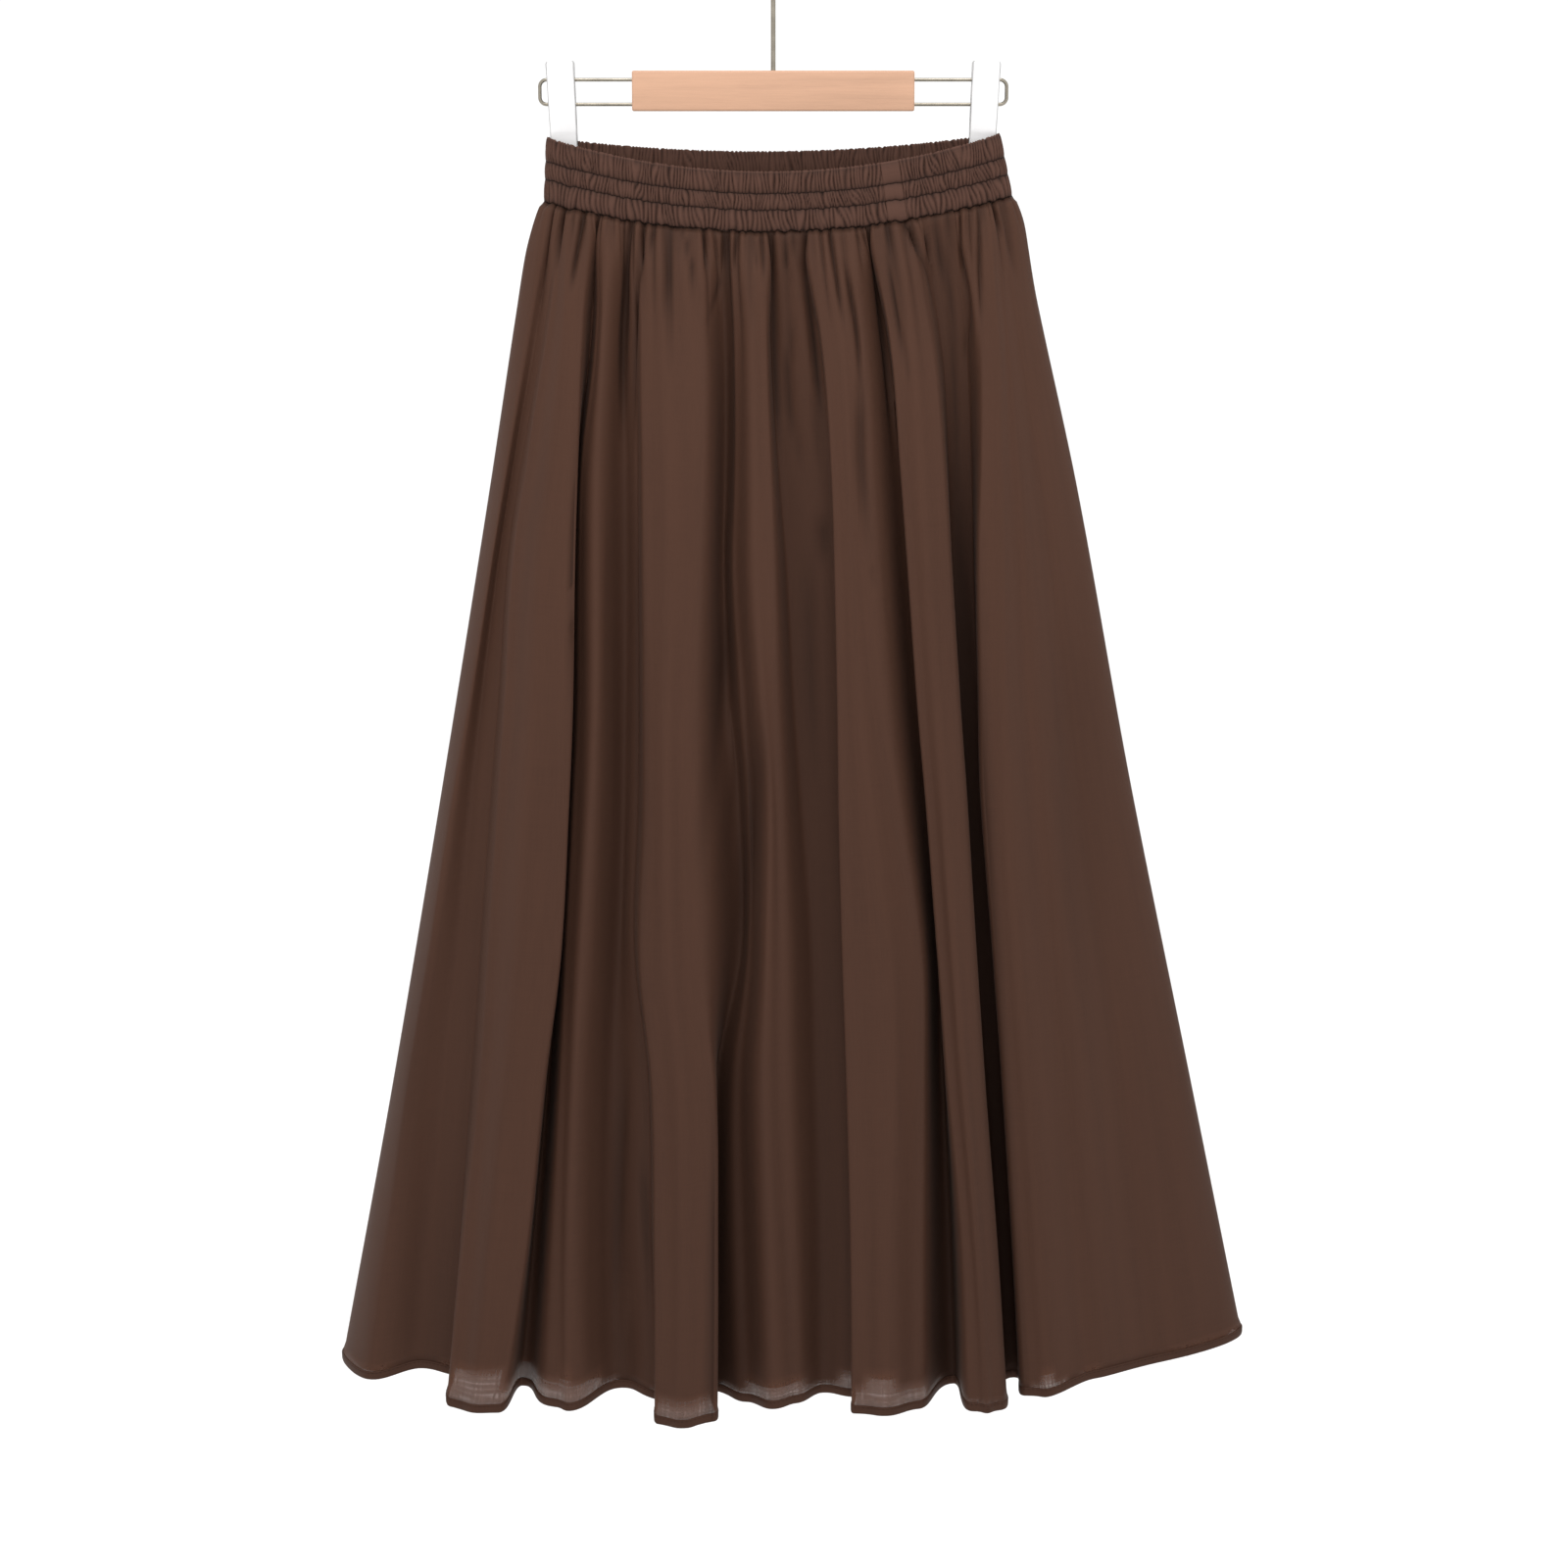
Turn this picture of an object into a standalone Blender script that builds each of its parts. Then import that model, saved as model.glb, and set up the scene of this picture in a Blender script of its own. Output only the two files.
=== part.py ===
"""Gathered a-line midi skirt, clipped by its back waistband to a skirt hanger.

Metres, +Z up.  The front of the skirt faces -Y and X runs across it.  The origin
is the inner crown of the hanger's hook, where a rail carries it, so everything
hangs below z = 0.  Tables are written in millimetres and read through MM.

Each cloth piece is a wall that follows a chain of folds.  A section through the
skirt starts as a flattened oval, and every fold row moves one crest or valley of
the chain out of that oval or into it.
"""
import math
from collections import namedtuple

import bmesh
import bpy
from mathutils import Matrix, Vector

MM = 0.001
SEAM_GAP = 0.3 * MM          # between pieces that are sewn or seated together

# Cloth
SKIRT_WALL = 1.6 * MM
LINING_WALL = 1.2 * MM
HEM_WALL = 2.6 * MM
HEM_HEIGHT = 5.0 * MM
BAND_STITCH_WALL = 2.0 * MM  # waistband at its stitch lines
BAND_CHANNEL_WALL = 3.2 * MM  # waistband over the elastic in a channel
JOIN_WIDTH = 10.5 * MM       # plain, ungathered join across the waistband
JOIN_X = 76.0 * MM
WAIST_SIDE_Y = -3.0 * MM     # where front and back meet at the side folds
WAIST_FRONT = 28.0 * MM      # the front waist hangs this far forward of its sides
WAIST_BACK = 8.0 * MM        # the back waist sags this far behind the clips
OVAL = 2.3                   # exponent of the flattened oval
SIDE_FOLD_FULLNESS = 0.4     # how round the cloth turns at its two side folds

# Hanger
BAR_SIZE = Vector((186.0, 10.5, 26.4)) * MM
BAR_TOP = -100.0 * MM
BAR_EDGE = 1.2 * MM
RAIL_RADIUS = 1.2 * MM
RAIL_HEIGHTS = (-106.0 * MM, -122.0 * MM)
RAIL_END = 153.8 * MM        # centre of the upright part of each end loop
RAIL_CORNER = 4.5 * MM
RAIL_SEAT = 11.0 * MM        # length of rail inside the wooden bar
HOOK_RADIUS = 1.6 * MM       # of the wire
HOOK_BEND = 20.6 * MM        # of the hook's centre line
NECK_BEND = 8.0 * MM
HOOK_SEAT = 12.0 * MM
HOOK_TIP_ANGLE = 205.0
CLIP_X = 139.1 * MM
CLIP_LEAN = 2.6              # degrees, tops leaning outward
CLIP_TOP = -95.0 * MM
CLIP_FOOT = -156.0 * MM
CLIP_TOP_WIDTH = 18.4 * MM
CLIP_FOOT_WIDTH = 17.5 * MM
CLIP_EDGE = 0.35 * MM
SPRING_RADIUS = 3.2 * MM
SPRING_LENGTH = 8.0 * MM

# Half of the clip seen from its side: height up from its foot and the distances
# of the jaw's inner and outer faces from the plane of the rails.
JawRow = namedtuple("JawRow", "height inner outer")
JAW = (
    JawRow(0.0, 1.95, 3.2),
    JawRow(13.0, 1.95, 4.2),
    JawRow(17.0, 4.0, 6.2),
    JawRow(46.0, 4.0, 6.2),
    JawRow(62.0, 6.6, 8.4),
)

# Sections down the skirt.  t runs from the gathered seam (0) to the hem (1); left
# and right are the outline seen from the front, front and back the oval's depths,
# growth the share of each fold's full relief and of its roundness.
Section = namedtuple("Section", "t left right side front back growth")
SECTIONS = (
    Section(0.000, -151.2, 157.6, -3.0, 28, 11, 0.00),
    Section(0.020, -158.0, 164.0, -3.0, 30, 13, 0.12),
    Section(0.045, -164.0, 168.5, -3.0, 32, 16, 0.22),
    Section(0.090, -170.5, 175.5, -2.5, 36, 20, 0.34),
    Section(0.250, -191.5, 204.5, -2.0, 46, 28, 0.50),
    Section(0.500, -226.0, 243.5, -1.0, 57, 38, 0.66),
    Section(0.760, -264.0, 288.0, 0.0, 67, 47, 0.84),
    Section(1.000, -302.0, 327.0, 0.0, 75, 55, 1.00),
)

# Folds from left to right.  x is the place of the crest or valley at each of the
# STATIONS down the skirt, relief its distance out of the oval at the hem, round how
# full the cloth turns over there (above 3 it overhangs), drop the height of its hem.
STATIONS = (0.0, 0.11, 0.285, 0.48, 0.71, 1.0)
Fold = namedtuple("Fold", "name x relief round drop")
FRONT_FOLDS = (
    Fold("left_flap", (-148, -162, -186, -213, -245, -275), 4, 1.0, 983),
    Fold("left_soft_valley", (-140, -155, -179, -201, -226, -243), -15, 1.0, 978),
    Fold("first_lobe", (-133, -139, -153, -161, -174, -204), 29, 2.6, 990),
    Fold("first_valley", (-119, -124, -129, -134, -147, -170), -10, 1.2, 986),
    Fold("second_lobe", (-110, -115, -119, -123, -134, -138), 19, 1.8, 991),
    Fold("second_valley", (-94, -95, -97, -98, -101, -99), -9, 1.0, 986),
    Fold("front_lobe", (-73, -69, -67, -71, -62, -59), 27, 2.7, 999),
    Fold("front_valley", (-37, -31, -29, -26, -27, -29), -24, 1.2, 993),
    Fold("middle_lobe", (-15, -13, -8, -1, -2, 2), 10, 1.2, 992),
    Fold("middle_valley", (2, 5, 14, 21, 32, 35), -7, 1.0, 988),
    Fold("right_lobe", (38, 45, 51, 60, 75, 77), 25, 2.3, 992),
    Fold("right_valley", (64, 75, 86, 99, 110, 118), -22, 1.2, 987),
    Fold("standing_fold", (76, 91, 104, 114, 127, 145), 29, 2.6, 989),
    Fold("deep_valley", (95, 110, 123, 134, 146, 162), -20, 1.2, 987),
    Fold("panel_edge", (122, 138, 144, 152, 166, 184), 20, 2.2, 981),
    Fold("panel_middle", (144, 159, 174, 193, 219, 252), -10, 1.0, 974),
)
BACK_FOLDS = (
    Fold("right_flap", (147, 158, 181, 206, 232, 262), 9, 1.3, 972),
    Fold("right_dip", (128, 136, 151, 172, 192, 214), -9, 1.0, 981),
    Fold("right_ridge", (104, 112, 127, 138, 158, 172), 15, 2.0, 987),
    Fold("right_back_dip", (80, 86, 97, 110, 121, 133), -13, 1.1, 985),
    Fold("centre_right_ridge", (54, 60, 66, 78, 84, 91), 17, 2.2, 989),
    Fold("centre_right_dip", (30, 32, 38, 42, 49, 52), -12, 1.1, 987),
    Fold("centre_ridge", (6, 5, 8, 9, 11, 8), 12, 1.6, 990),
    Fold("centre_left_dip", (-22, -24, -27, -30, -35, -38), -14, 1.1, 986),
    Fold("left_ridge", (-46, -50, -58, -65, -74, -84), 18, 2.3, 989),
    Fold("left_back_dip", (-74, -79, -88, -99, -110, -124), -12, 1.1, 985),
    Fold("left_outer_ridge", (-102, -110, -120, -134, -149, -168), 14, 1.9, 988),
    Fold("left_dip", (-126, -136, -150, -168, -190, -213), -8, 1.0, 984),
    Fold("left_flap", (-143, -155, -177, -202, -229, -256), 8, 1.3, 984),
)
FRONT_CORNERS = (984, 966)     # hem height at the left and the right side fold

# The lining hangs inside on its own, softer folds.
LINING_HEM = 977               # mean height of its hem
LINING_INSET = 2.6 * MM        # from the skirt at the gathered seam
LINING_DEPTH_CLEAR = 30.0 * MM # further inset at the hem, behind the deepest valley
LINING_SIDE_CLEAR = 12.0 * MM
# Lobes of the skirt that the lining follows, with the lining's own relief at the hem.
LINING_FRONT_CRESTS = {"second_lobe": 12, "front_lobe": 26, "middle_lobe": 10, "right_lobe": 20,
                       "panel_edge": 8}
LINING_BACK_CRESTS = {"right_flap": 0, "right_ridge": 10, "centre_right_ridge": 14, "left_ridge": 16,
                      "left_outer_ridge": 10, "left_flap": 0}

# Rows of cloth down each panel, closer where the gathers open out.
SKIRT_ROWS = (0.0, 0.02, 0.045, 0.09, 0.17, 0.27, 0.38, 0.50, 0.62, 0.75, 0.88)
LINING_ROWS = (0.0, 0.03, 0.10, 0.28, 0.52, 0.76)
SKIRT_STEP = 15.0 * MM         # column spacing round the hem
LINING_STEP = 28.0 * MM
BAND_STEPS = 26                # columns across each half of the waistband

# Seams
WAIST_TOP = (-143.9, -141.4)   # left and right ends of the waistband's top edge
WAIST_SEAM = (-185.2, -181.0)  # left and right ends of the gathered seam
FRONT_TOP_SAG = 23.0
FRONT_SEAM_SAG = 20.5
BACK_SAG = 10.6
BAND_LEFT = (-149.3, -151.2)   # outline of the waistband, top and seam
BAND_RIGHT = (149.4, 157.6)
STITCH_LINES = (0.36, 0.64)    # down the waistband, between its three channels

CLOTH_COLOUR = (0.080, 0.043, 0.030, 1.0)
LINING_COLOUR = (0.062, 0.034, 0.024, 1.0)
WOOD_COLOUR = (0.75, 0.46, 0.31, 1.0)
STEEL_COLOUR = (0.62, 0.60, 0.56, 1.0)
PLASTIC_COLOUR = (0.90, 0.90, 0.89, 1.0)


def clear_scene():
    for item in list(bpy.data.objects):
        bpy.data.objects.remove(item, do_unlink=True)


def plain_material(name, colour, roughness, metallic=0.0):
    material = bpy.data.materials.new(name)
    material.use_nodes = True
    shader = material.node_tree.nodes["Principled BSDF"]
    shader.inputs["Base Color"].default_value = colour
    shader.inputs["Roughness"].default_value = roughness
    shader.inputs["Metallic"].default_value = metallic
    material.diffuse_color = colour
    return material


def mix(a, b, share):
    return a + (b - a) * share


def ease(t):
    t = min(1.0, max(0.0, t))
    return t * t * (3.0 - 2.0 * t)


def hermite(a, b, slope_a, slope_b, s):
    """Cubic from a to b; slopes are per unit of s."""
    s2, s3 = s * s, s * s * s
    return (a * (2 * s3 - 3 * s2 + 1) + slope_a * (s3 - 2 * s2 + s)
            + b * (3 * s2 - 2 * s3) + slope_b * (s3 - s2))


def read_table(keys, values, t):
    """Smooth curve through values at increasing keys, read at t."""
    t = min(keys[-1], max(keys[0], t))
    index = max(i for i in range(len(keys) - 1) if keys[i] <= t)
    slopes = []
    for i in (index, index + 1):
        before, after = max(0, i - 1), min(len(keys) - 1, i + 1)
        slopes.append((values[after] - values[before]) / (keys[after] - keys[before]))
    width = keys[index + 1] - keys[index]
    return hermite(values[index], values[index + 1], slopes[0] * width, slopes[1] * width,
                   (t - keys[index]) / width)


def section_value(column, t):
    return read_table([row.t for row in SECTIONS], [getattr(row, column) for row in SECTIONS], t)


def oval(q):
    """Height of the unit flattened oval at q, from -1 to 1."""
    return max(0.0, 1.0 - abs(q) ** OVAL) ** (1.0 / OVAL)


def waist_back(q):
    """Back waistband: pulled flat in the clips, sagging between them."""
    flat_from, flat_to = 0.82, 0.975
    if abs(q) < flat_from:
        return WAIST_BACK * math.cos(0.5 * math.pi * q / flat_from) ** 2
    turn = max(0.0, (abs(q) - flat_to) / (1.0 - flat_to))
    return mix(WAIST_SIDE_Y, 0.0, math.sqrt(max(0.0, 1.0 - turn * turn)))


class Tube:
    """Oval that the cloth hangs round: the skirt's own, or the lining's inside it."""

    def __init__(self, inset=0.0, side_clear=0.0, depth_clear=0.0):
        self.inset = inset
        self.side_clear = side_clear
        self.depth_clear = depth_clear

    def inset_at(self, t, clear):
        return self.inset + clear * section_value("growth", t)

    def edges(self, t):
        """Left and right x of the side folds."""
        left, right = section_value("left", t) * MM, section_value("right", t) * MM
        inset = self.inset + self.inset_at(t, self.side_clear)
        return left + inset, right - inset

    def side_y(self, t):
        return section_value("side", t) * MM

    def across(self, x, t):
        left, right = self.edges(t)
        return (2.0 * x - left - right) / (right - left)

    def front_y(self, x, t):
        depth = section_value("front", t) * MM - self.inset_at(t, self.depth_clear)
        return self.side_y(t) - depth * oval(self.across(x, t))

    def back_y(self, x, t):
        q = self.across(x, t)
        inset = self.inset_at(t, self.depth_clear)
        hanging = self.side_y(t) + (section_value("back", t) * MM - inset) * oval(q)
        clipped = waist_back(q) - inset * min(1.0, 1.7 * oval(q))
        return mix(clipped, hanging, ease(t / 0.06))


def section_chain(tube, folds, t, back):
    """Control points of one half section, left to right (front) or right to left (back).

    Each entry is (point, direction, round): the cloth passes the point along the
    direction, which follows the oval there.
    """
    facing = 1.0 if back else -1.0
    wall_y = tube.back_y if back else tube.front_y
    growth = section_value("growth", t)
    left, right = tube.edges(t)
    start, end = (right, left) if back else (left, right)
    along = math.copysign(1.0, end - start)
    chain = [(Vector((start, tube.side_y(t))), Vector((0.0, facing)), 1.0)]
    for fold in folds:
        x = read_table(STATIONS, fold.x, t) * MM
        x = mix(start, end, min(0.975, max(0.025, (x - start) / (end - start))))
        tilt = (wall_y(x + MM, t) - wall_y(x - MM, t)) / (2.0 * MM)
        relief = fold.relief * MM * growth
        point = Vector((x, wall_y(x, t) + facing * relief))
        direction = Vector((along, along * tilt)).normalized()
        chain.append((point, direction, mix(1.0, fold.round, growth)))
    chain.append((Vector((end, tube.side_y(t))), Vector((0.0, -facing)), 1.0))
    return chain


def chain_points(chain, counts):
    """Points along the chain, with counts[i] steps on its stretch i."""
    points = []
    for (a, dir_a, round_a), (b, dir_b, round_b), count in zip(chain, chain[1:], counts):
        across, deep = abs(b.x - a.x), abs(b.y - a.y)
        reach_a = across if dir_a.x else max(deep, SIDE_FOLD_FULLNESS * across)
        reach_b = across if dir_b.x else max(deep, SIDE_FOLD_FULLNESS * across)
        for step in range(count):
            points.append(hermite(a, b, dir_a * reach_a * round_a, dir_b * reach_b * round_b,
                                  step / count))
    points.append(chain[-1][0].copy())
    return points


def chain_counts(chain, spacing):
    """Steps for each stretch of the chain, from its length and the wanted spacing."""
    fine = chain_points(chain, [12] * (len(chain) - 1))
    counts = []
    for stretch in range(len(chain) - 1):
        piece = fine[stretch * 12:stretch * 12 + 13]
        length = sum((b - a).length for a, b in zip(piece, piece[1:]))
        counts.append(max(2, round(length / spacing)))
    return counts


def offset_points(points, distance, square_ends=False):
    """Points moved by distance to the left of their direction, in their own plane.

    With square_ends the two end points move along X, as cloth does at a side fold.
    """
    moved = []
    last = len(points) - 1
    for i, point in enumerate(points):
        run = points[min(i + 1, last)] - points[max(i - 1, 0)]
        if square_ends and i in (0, last):
            run = Vector((0.0, math.copysign(1.0, run.y)))
        run.normalize()
        moved.append(point + Vector((-run.y, run.x)) * distance)
    return moved


def seam_height(x, ends, sag, left, right):
    """Height of a waist edge: straight between its ends, less a parabolic sag."""
    share = min(1.0, max(0.0, (x - left) / (right - left)))
    return (mix(ends[0], ends[1], share) - sag * 4.0 * share * (1.0 - share)) * MM


def gathered_seam(x, back):
    left, right = SECTIONS[0].left * MM, SECTIONS[0].right * MM
    return seam_height(x, WAIST_SEAM, BACK_SAG if back else FRONT_SEAM_SAG, left, right)


def wall_between(name, outer, inner, material):
    """Closed wall from two grids of points with the same rows and columns."""
    rows, columns = len(outer), len(outer[0])
    mesh = bmesh.new()
    skins = [[[mesh.verts.new(p) for p in row] for row in skin] for skin in (outer, inner)]
    for r in range(rows - 1):
        for c in range(columns - 1):
            for skin, turned in zip(skins, (False, True)):
                corners = [skin[r][c], skin[r + 1][c], skin[r + 1][c + 1], skin[r][c + 1]]
                mesh.faces.new(corners[::-1] if turned else corners)
    rim = [(r, 0) for r in range(rows)] + [(rows - 1, c) for c in range(1, columns)]
    rim += [(r, columns - 1) for r in range(rows - 2, -1, -1)]
    rim += [(0, c) for c in range(columns - 2, -1, -1)]
    for (r, c), (r2, c2) in zip(rim, rim[1:]):
        mesh.faces.new([skins[0][r2][c2], skins[0][r][c], skins[1][r][c], skins[1][r2][c2]])
    bmesh.ops.recalc_face_normals(mesh, faces=mesh.faces)
    return finish_mesh(name, mesh, material)


def finish_mesh(name, mesh, material, smooth_angle=40.0):
    data = bpy.data.meshes.new(name)
    mesh.to_mesh(data)
    mesh.free()
    data.shade_smooth()
    data.set_sharp_from_angle(angle=math.radians(smooth_angle))
    data.materials.append(material)
    item = bpy.data.objects.new(name, data)
    bpy.context.collection.objects.link(item)
    return item


def hem_drops(folds, chain, counts, back):
    """Height of the hem at every column, read from the folds' drops."""
    corners = FRONT_CORNERS[::-1] if back else FRONT_CORNERS
    drops = [corners[0]] + [fold.drop for fold in folds] + [corners[1]]
    values = []
    for a, b, count in zip(drops, drops[1:], counts):
        values += [mix(a, b, ease(step / count)) for step in range(count)]
    values.append(drops[-1])
    return [-value * MM for value in values]


def cloth_wall(name, tube, folds, rows, counts, drops, wall, back, material):
    """One panel of cloth hung from the gathered seam, its rows given by t."""
    outer, inner = [], []
    tops = chain_points(section_chain(tube, folds, 0.0, back), counts)
    for t, lift in rows:
        points = chain_points(section_chain(tube, folds, t, back), counts)
        heights = [mix(gathered_seam(top.x, back) - SEAM_GAP, drop, t) + lift
                   for top, drop in zip(tops, drops)]
        points = part_at_side_seam(points, back)
        for skin, side in ((outer, -0.5), (inner, 0.5)):
            moved = offset_points(points, side * wall, square_ends=True)
            skin.append([Vector((p.x, p.y, z)) for p, z in zip(moved, heights)])
    return wall_between(name, outer, inner, material)


def part_at_side_seam(points, back):
    """Draws the panel's two edges back from the side seam by half the gap."""
    shift = Vector((0.0, (0.5 if back else -0.5) * SEAM_GAP))
    return [points[0] + shift] + points[1:-1] + [points[-1] + shift]


def build_panel(name, tube, folds, back, material):
    """Skirt panel and, just below it, its turned hem."""
    chain = section_chain(tube, folds, 1.0, back)
    counts = chain_counts(chain, SKIRT_STEP)
    drops = hem_drops(folds, chain, counts, back)
    panel_rows = [(t, 0.0) for t in SKIRT_ROWS] + [(1.0, HEM_HEIGHT + SEAM_GAP)]
    hem_rows = [(1.0, HEM_HEIGHT), (1.0, 0.0)]
    cloth_wall("skirt_" + name, tube, folds, panel_rows, counts, drops, SKIRT_WALL, back, material)
    cloth_wall("hem_" + name, tube, folds, hem_rows, counts, drops, HEM_WALL, back, material)


def lining_folds(folds, crests):
    """The lining's crests behind the named lobes, with shallow dips between them."""
    chosen = [Fold(fold.name, fold.x, crests[fold.name], 1.2, LINING_HEM)
              for fold in folds if fold.name in crests]
    rows = chosen[:1]
    for before, after in zip(chosen, chosen[1:]):
        between = tuple(0.5 * (a + b) for a, b in zip(before.x, after.x))
        rows += [Fold("dip", between, 0, 1.0, LINING_HEM), after]
    return tuple(rows)


def build_lining(name, folds, crests, back, material):
    tube = Tube(LINING_INSET, LINING_SIDE_CLEAR, LINING_DEPTH_CLEAR)
    soft_folds = lining_folds(folds, crests)
    chain = section_chain(tube, soft_folds, 1.0, back)
    counts = chain_counts(chain, LINING_STEP)
    drops = [-LINING_HEM * MM] * (sum(counts) + 1)
    rows = [(t, 0.0) for t in LINING_ROWS] + [(1.0, 0.0)]
    cloth_wall("lining_" + name, tube, soft_folds, rows, counts, drops, LINING_WALL, back, material)


def band_profile():
    """Rows down the waistband: share of its height and wall thickness there."""
    edges = (0.0,) + STITCH_LINES + (1.0,)
    rows = []
    for top, bottom in zip(edges, edges[1:]):
        for share in (0.0, 0.5):
            thick = BAND_STITCH_WALL if share == 0.0 else BAND_CHANNEL_WALL
            rows.append((mix(top, bottom, share), thick))
    return rows + [(1.0, BAND_STITCH_WALL)]


def band_point(q, share, back):
    """Middle of the waistband's wall at q across it and share down it."""
    left = mix(BAND_LEFT[0], BAND_LEFT[1], share) * MM
    right = mix(BAND_RIGHT[0], BAND_RIGHT[1], share) * MM
    x = mix(left, right, 0.5 + 0.5 * q)
    y = waist_back(q) if back else WAIST_SIDE_Y - WAIST_FRONT * oval(q)
    top = seam_height(x, WAIST_TOP, BACK_SAG if back else FRONT_TOP_SAG, left, right)
    return Vector((x, y, mix(top, gathered_seam(x, back), share)))


def band_wall(name, places, profile, material):
    """Waistband wall through places, each (q, back), with the profile's thickness."""
    outer, inner = [], []
    for share, thick in profile:
        points = [band_point(q, share, back) for q, back in places]
        flat = [Vector((p.x, p.y)) for p in points]
        for skin, side in ((outer, -0.5), (inner, 0.5)):
            moved = offset_points(flat, side * thick)
            skin.append([Vector((m.x, m.y, p.z)) for m, p in zip(moved, points)])
    return wall_between(name, outer, inner, material)


def spaced(start, end, steps):
    """Places across the waist from start to end, closer towards the side folds."""
    low, high = math.asin(start), math.asin(end)
    return [math.sin(mix(low, high, i / steps)) for i in range(steps + 1)]


def build_waistband(material):
    """One strip right round the waist, and the plain join where its ends meet."""
    left, right = BAND_LEFT[0] * MM, BAND_RIGHT[0] * MM
    join_left, join_right = (2.0 * (JOIN_X + side * JOIN_WIDTH - left) / (right - left) - 1.0
                             for side in (-0.5, 0.5))
    gap = 2.0 * SEAM_GAP / (right - left)
    steps_right = BAND_STEPS // 3
    places = [(q, False) for q in spaced(join_right + gap, 1.0, steps_right)]
    places += [(q, True) for q in spaced(1.0, -1.0, BAND_STEPS)[1:]]
    places += [(q, False) for q in spaced(-1.0, join_left - gap, BAND_STEPS - steps_right)[1:]]
    band_wall("waistband", places, band_profile(), material)
    join_places = [(mix(join_left, join_right, i / 3), False) for i in range(4)]
    join_profile = [(0.0, BAND_STITCH_WALL), (0.5, BAND_STITCH_WALL), (1.0, BAND_STITCH_WALL)]
    band_wall("waistband_join", join_places, join_profile, material)


def arc_points(centre, radius, start, end, steps):
    """Points in the plane of the hanger, angles in degrees from +X towards +Z."""
    angles = [math.radians(mix(start, end, i / steps)) for i in range(steps + 1)]
    return [centre + Vector((math.cos(a), 0.0, math.sin(a))) * radius for a in angles]


def bent_wire(name, points, radius, material):
    data = bpy.data.curves.new(name, "CURVE")
    data.dimensions = "3D"
    data.bevel_depth = radius
    data.bevel_resolution = 3
    data.use_fill_caps = True
    data.render_resolution_u = 0
    spline = data.splines.new("POLY")
    spline.points.add(len(points) - 1)
    for target, point in zip(spline.points, points):
        target.co = (point.x, point.y, point.z, 1.0)
    data.materials.append(material)
    item = bpy.data.objects.new(name, data)
    bpy.context.collection.objects.link(item)
    return item


def build_hook(material):
    """Stem out of the bar, a gooseneck bend and the open hook."""
    crown = Vector((0.0, 0.0, HOOK_RADIUS - HOOK_BEND))
    reach = math.sqrt(HOOK_BEND ** 2 + 2.0 * HOOK_BEND * NECK_BEND)
    neck = Vector((NECK_BEND, 0.0, crown.z - reach))
    meet = math.degrees(math.atan2(reach, -NECK_BEND))
    points = [Vector((0.0, 0.0, BAR_TOP - HOOK_SEAT))]
    points += arc_points(neck, NECK_BEND, 180.0, meet, 6)
    points += arc_points(crown, HOOK_BEND, meet - 180.0, HOOK_TIP_ANGLE, 26)[1:]
    bent_wire("hook", points, HOOK_RADIUS, material)


def build_rail(side, name, material):
    """Two rails and the end loop that joins them, bent from one wire."""
    upper, lower = RAIL_HEIGHTS
    root = side * (0.5 * BAR_SIZE.x - RAIL_SEAT)
    turn = side * (RAIL_END - RAIL_CORNER)
    outward = 0.0 if side > 0 else 180.0
    points = [Vector((root, 0.0, upper))]
    points += arc_points(Vector((turn, 0.0, upper - RAIL_CORNER)), RAIL_CORNER, 90.0, outward, 5)
    points += arc_points(Vector((turn, 0.0, lower + RAIL_CORNER)), RAIL_CORNER, outward,
                         270.0 if side < 0 else -90.0, 5)
    points.append(Vector((root, 0.0, lower)))
    bent_wire("rail_" + name, points, RAIL_RADIUS, material)


def drill(name, centre, radius, length, axis):
    """Round cutter for the bar, along X or Z."""
    turn = Matrix.Rotation(math.radians(90.0), 4, "Y") if axis == "X" else Matrix.Identity(4)
    mesh = bmesh.new()
    bmesh.ops.create_cone(mesh, cap_ends=True, segments=16, radius1=radius, radius2=radius,
                          depth=length, matrix=Matrix.Translation(centre) @ turn)
    data = bpy.data.meshes.new(name)
    mesh.to_mesh(data)
    mesh.free()
    cutter = bpy.data.objects.new(name, data)
    bpy.context.collection.objects.link(cutter)
    cutter.hide_render = True
    cutter.display_type = "WIRE"
    return cutter


def build_bar(material):
    """Wooden bar with a drilled seat for every wire that enters it."""
    centre = Vector((0.0, 0.0, BAR_TOP - 0.5 * BAR_SIZE.z))
    mesh = bmesh.new()
    bmesh.ops.create_cube(mesh, size=1.0, matrix=Matrix.Translation(centre) @ Matrix.Diagonal(
        (BAR_SIZE.x, BAR_SIZE.y, BAR_SIZE.z, 1.0)))
    bmesh.ops.bevel(mesh, geom=mesh.edges[:], offset=BAR_EDGE, segments=2, affect="EDGES")
    bar = finish_mesh("hanger_bar", mesh, material)
    depth = 2.0 * (RAIL_SEAT + SEAM_GAP)
    cutters = [drill("hook_seat", Vector((0.0, 0.0, BAR_TOP)), HOOK_RADIUS + SEAM_GAP,
                     2.0 * (HOOK_SEAT + SEAM_GAP), "Z")]
    for side in (-1, 1):
        for height in RAIL_HEIGHTS:
            place = Vector((side * 0.5 * BAR_SIZE.x, 0.0, height))
            cutters.append(drill("rail_seat", place, RAIL_RADIUS + SEAM_GAP, depth, "X"))
    for cutter in cutters:
        cut = bar.modifiers.new("seat", "BOOLEAN")
        cut.operation = "DIFFERENCE"
        cut.object = cutter
    return bar


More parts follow.
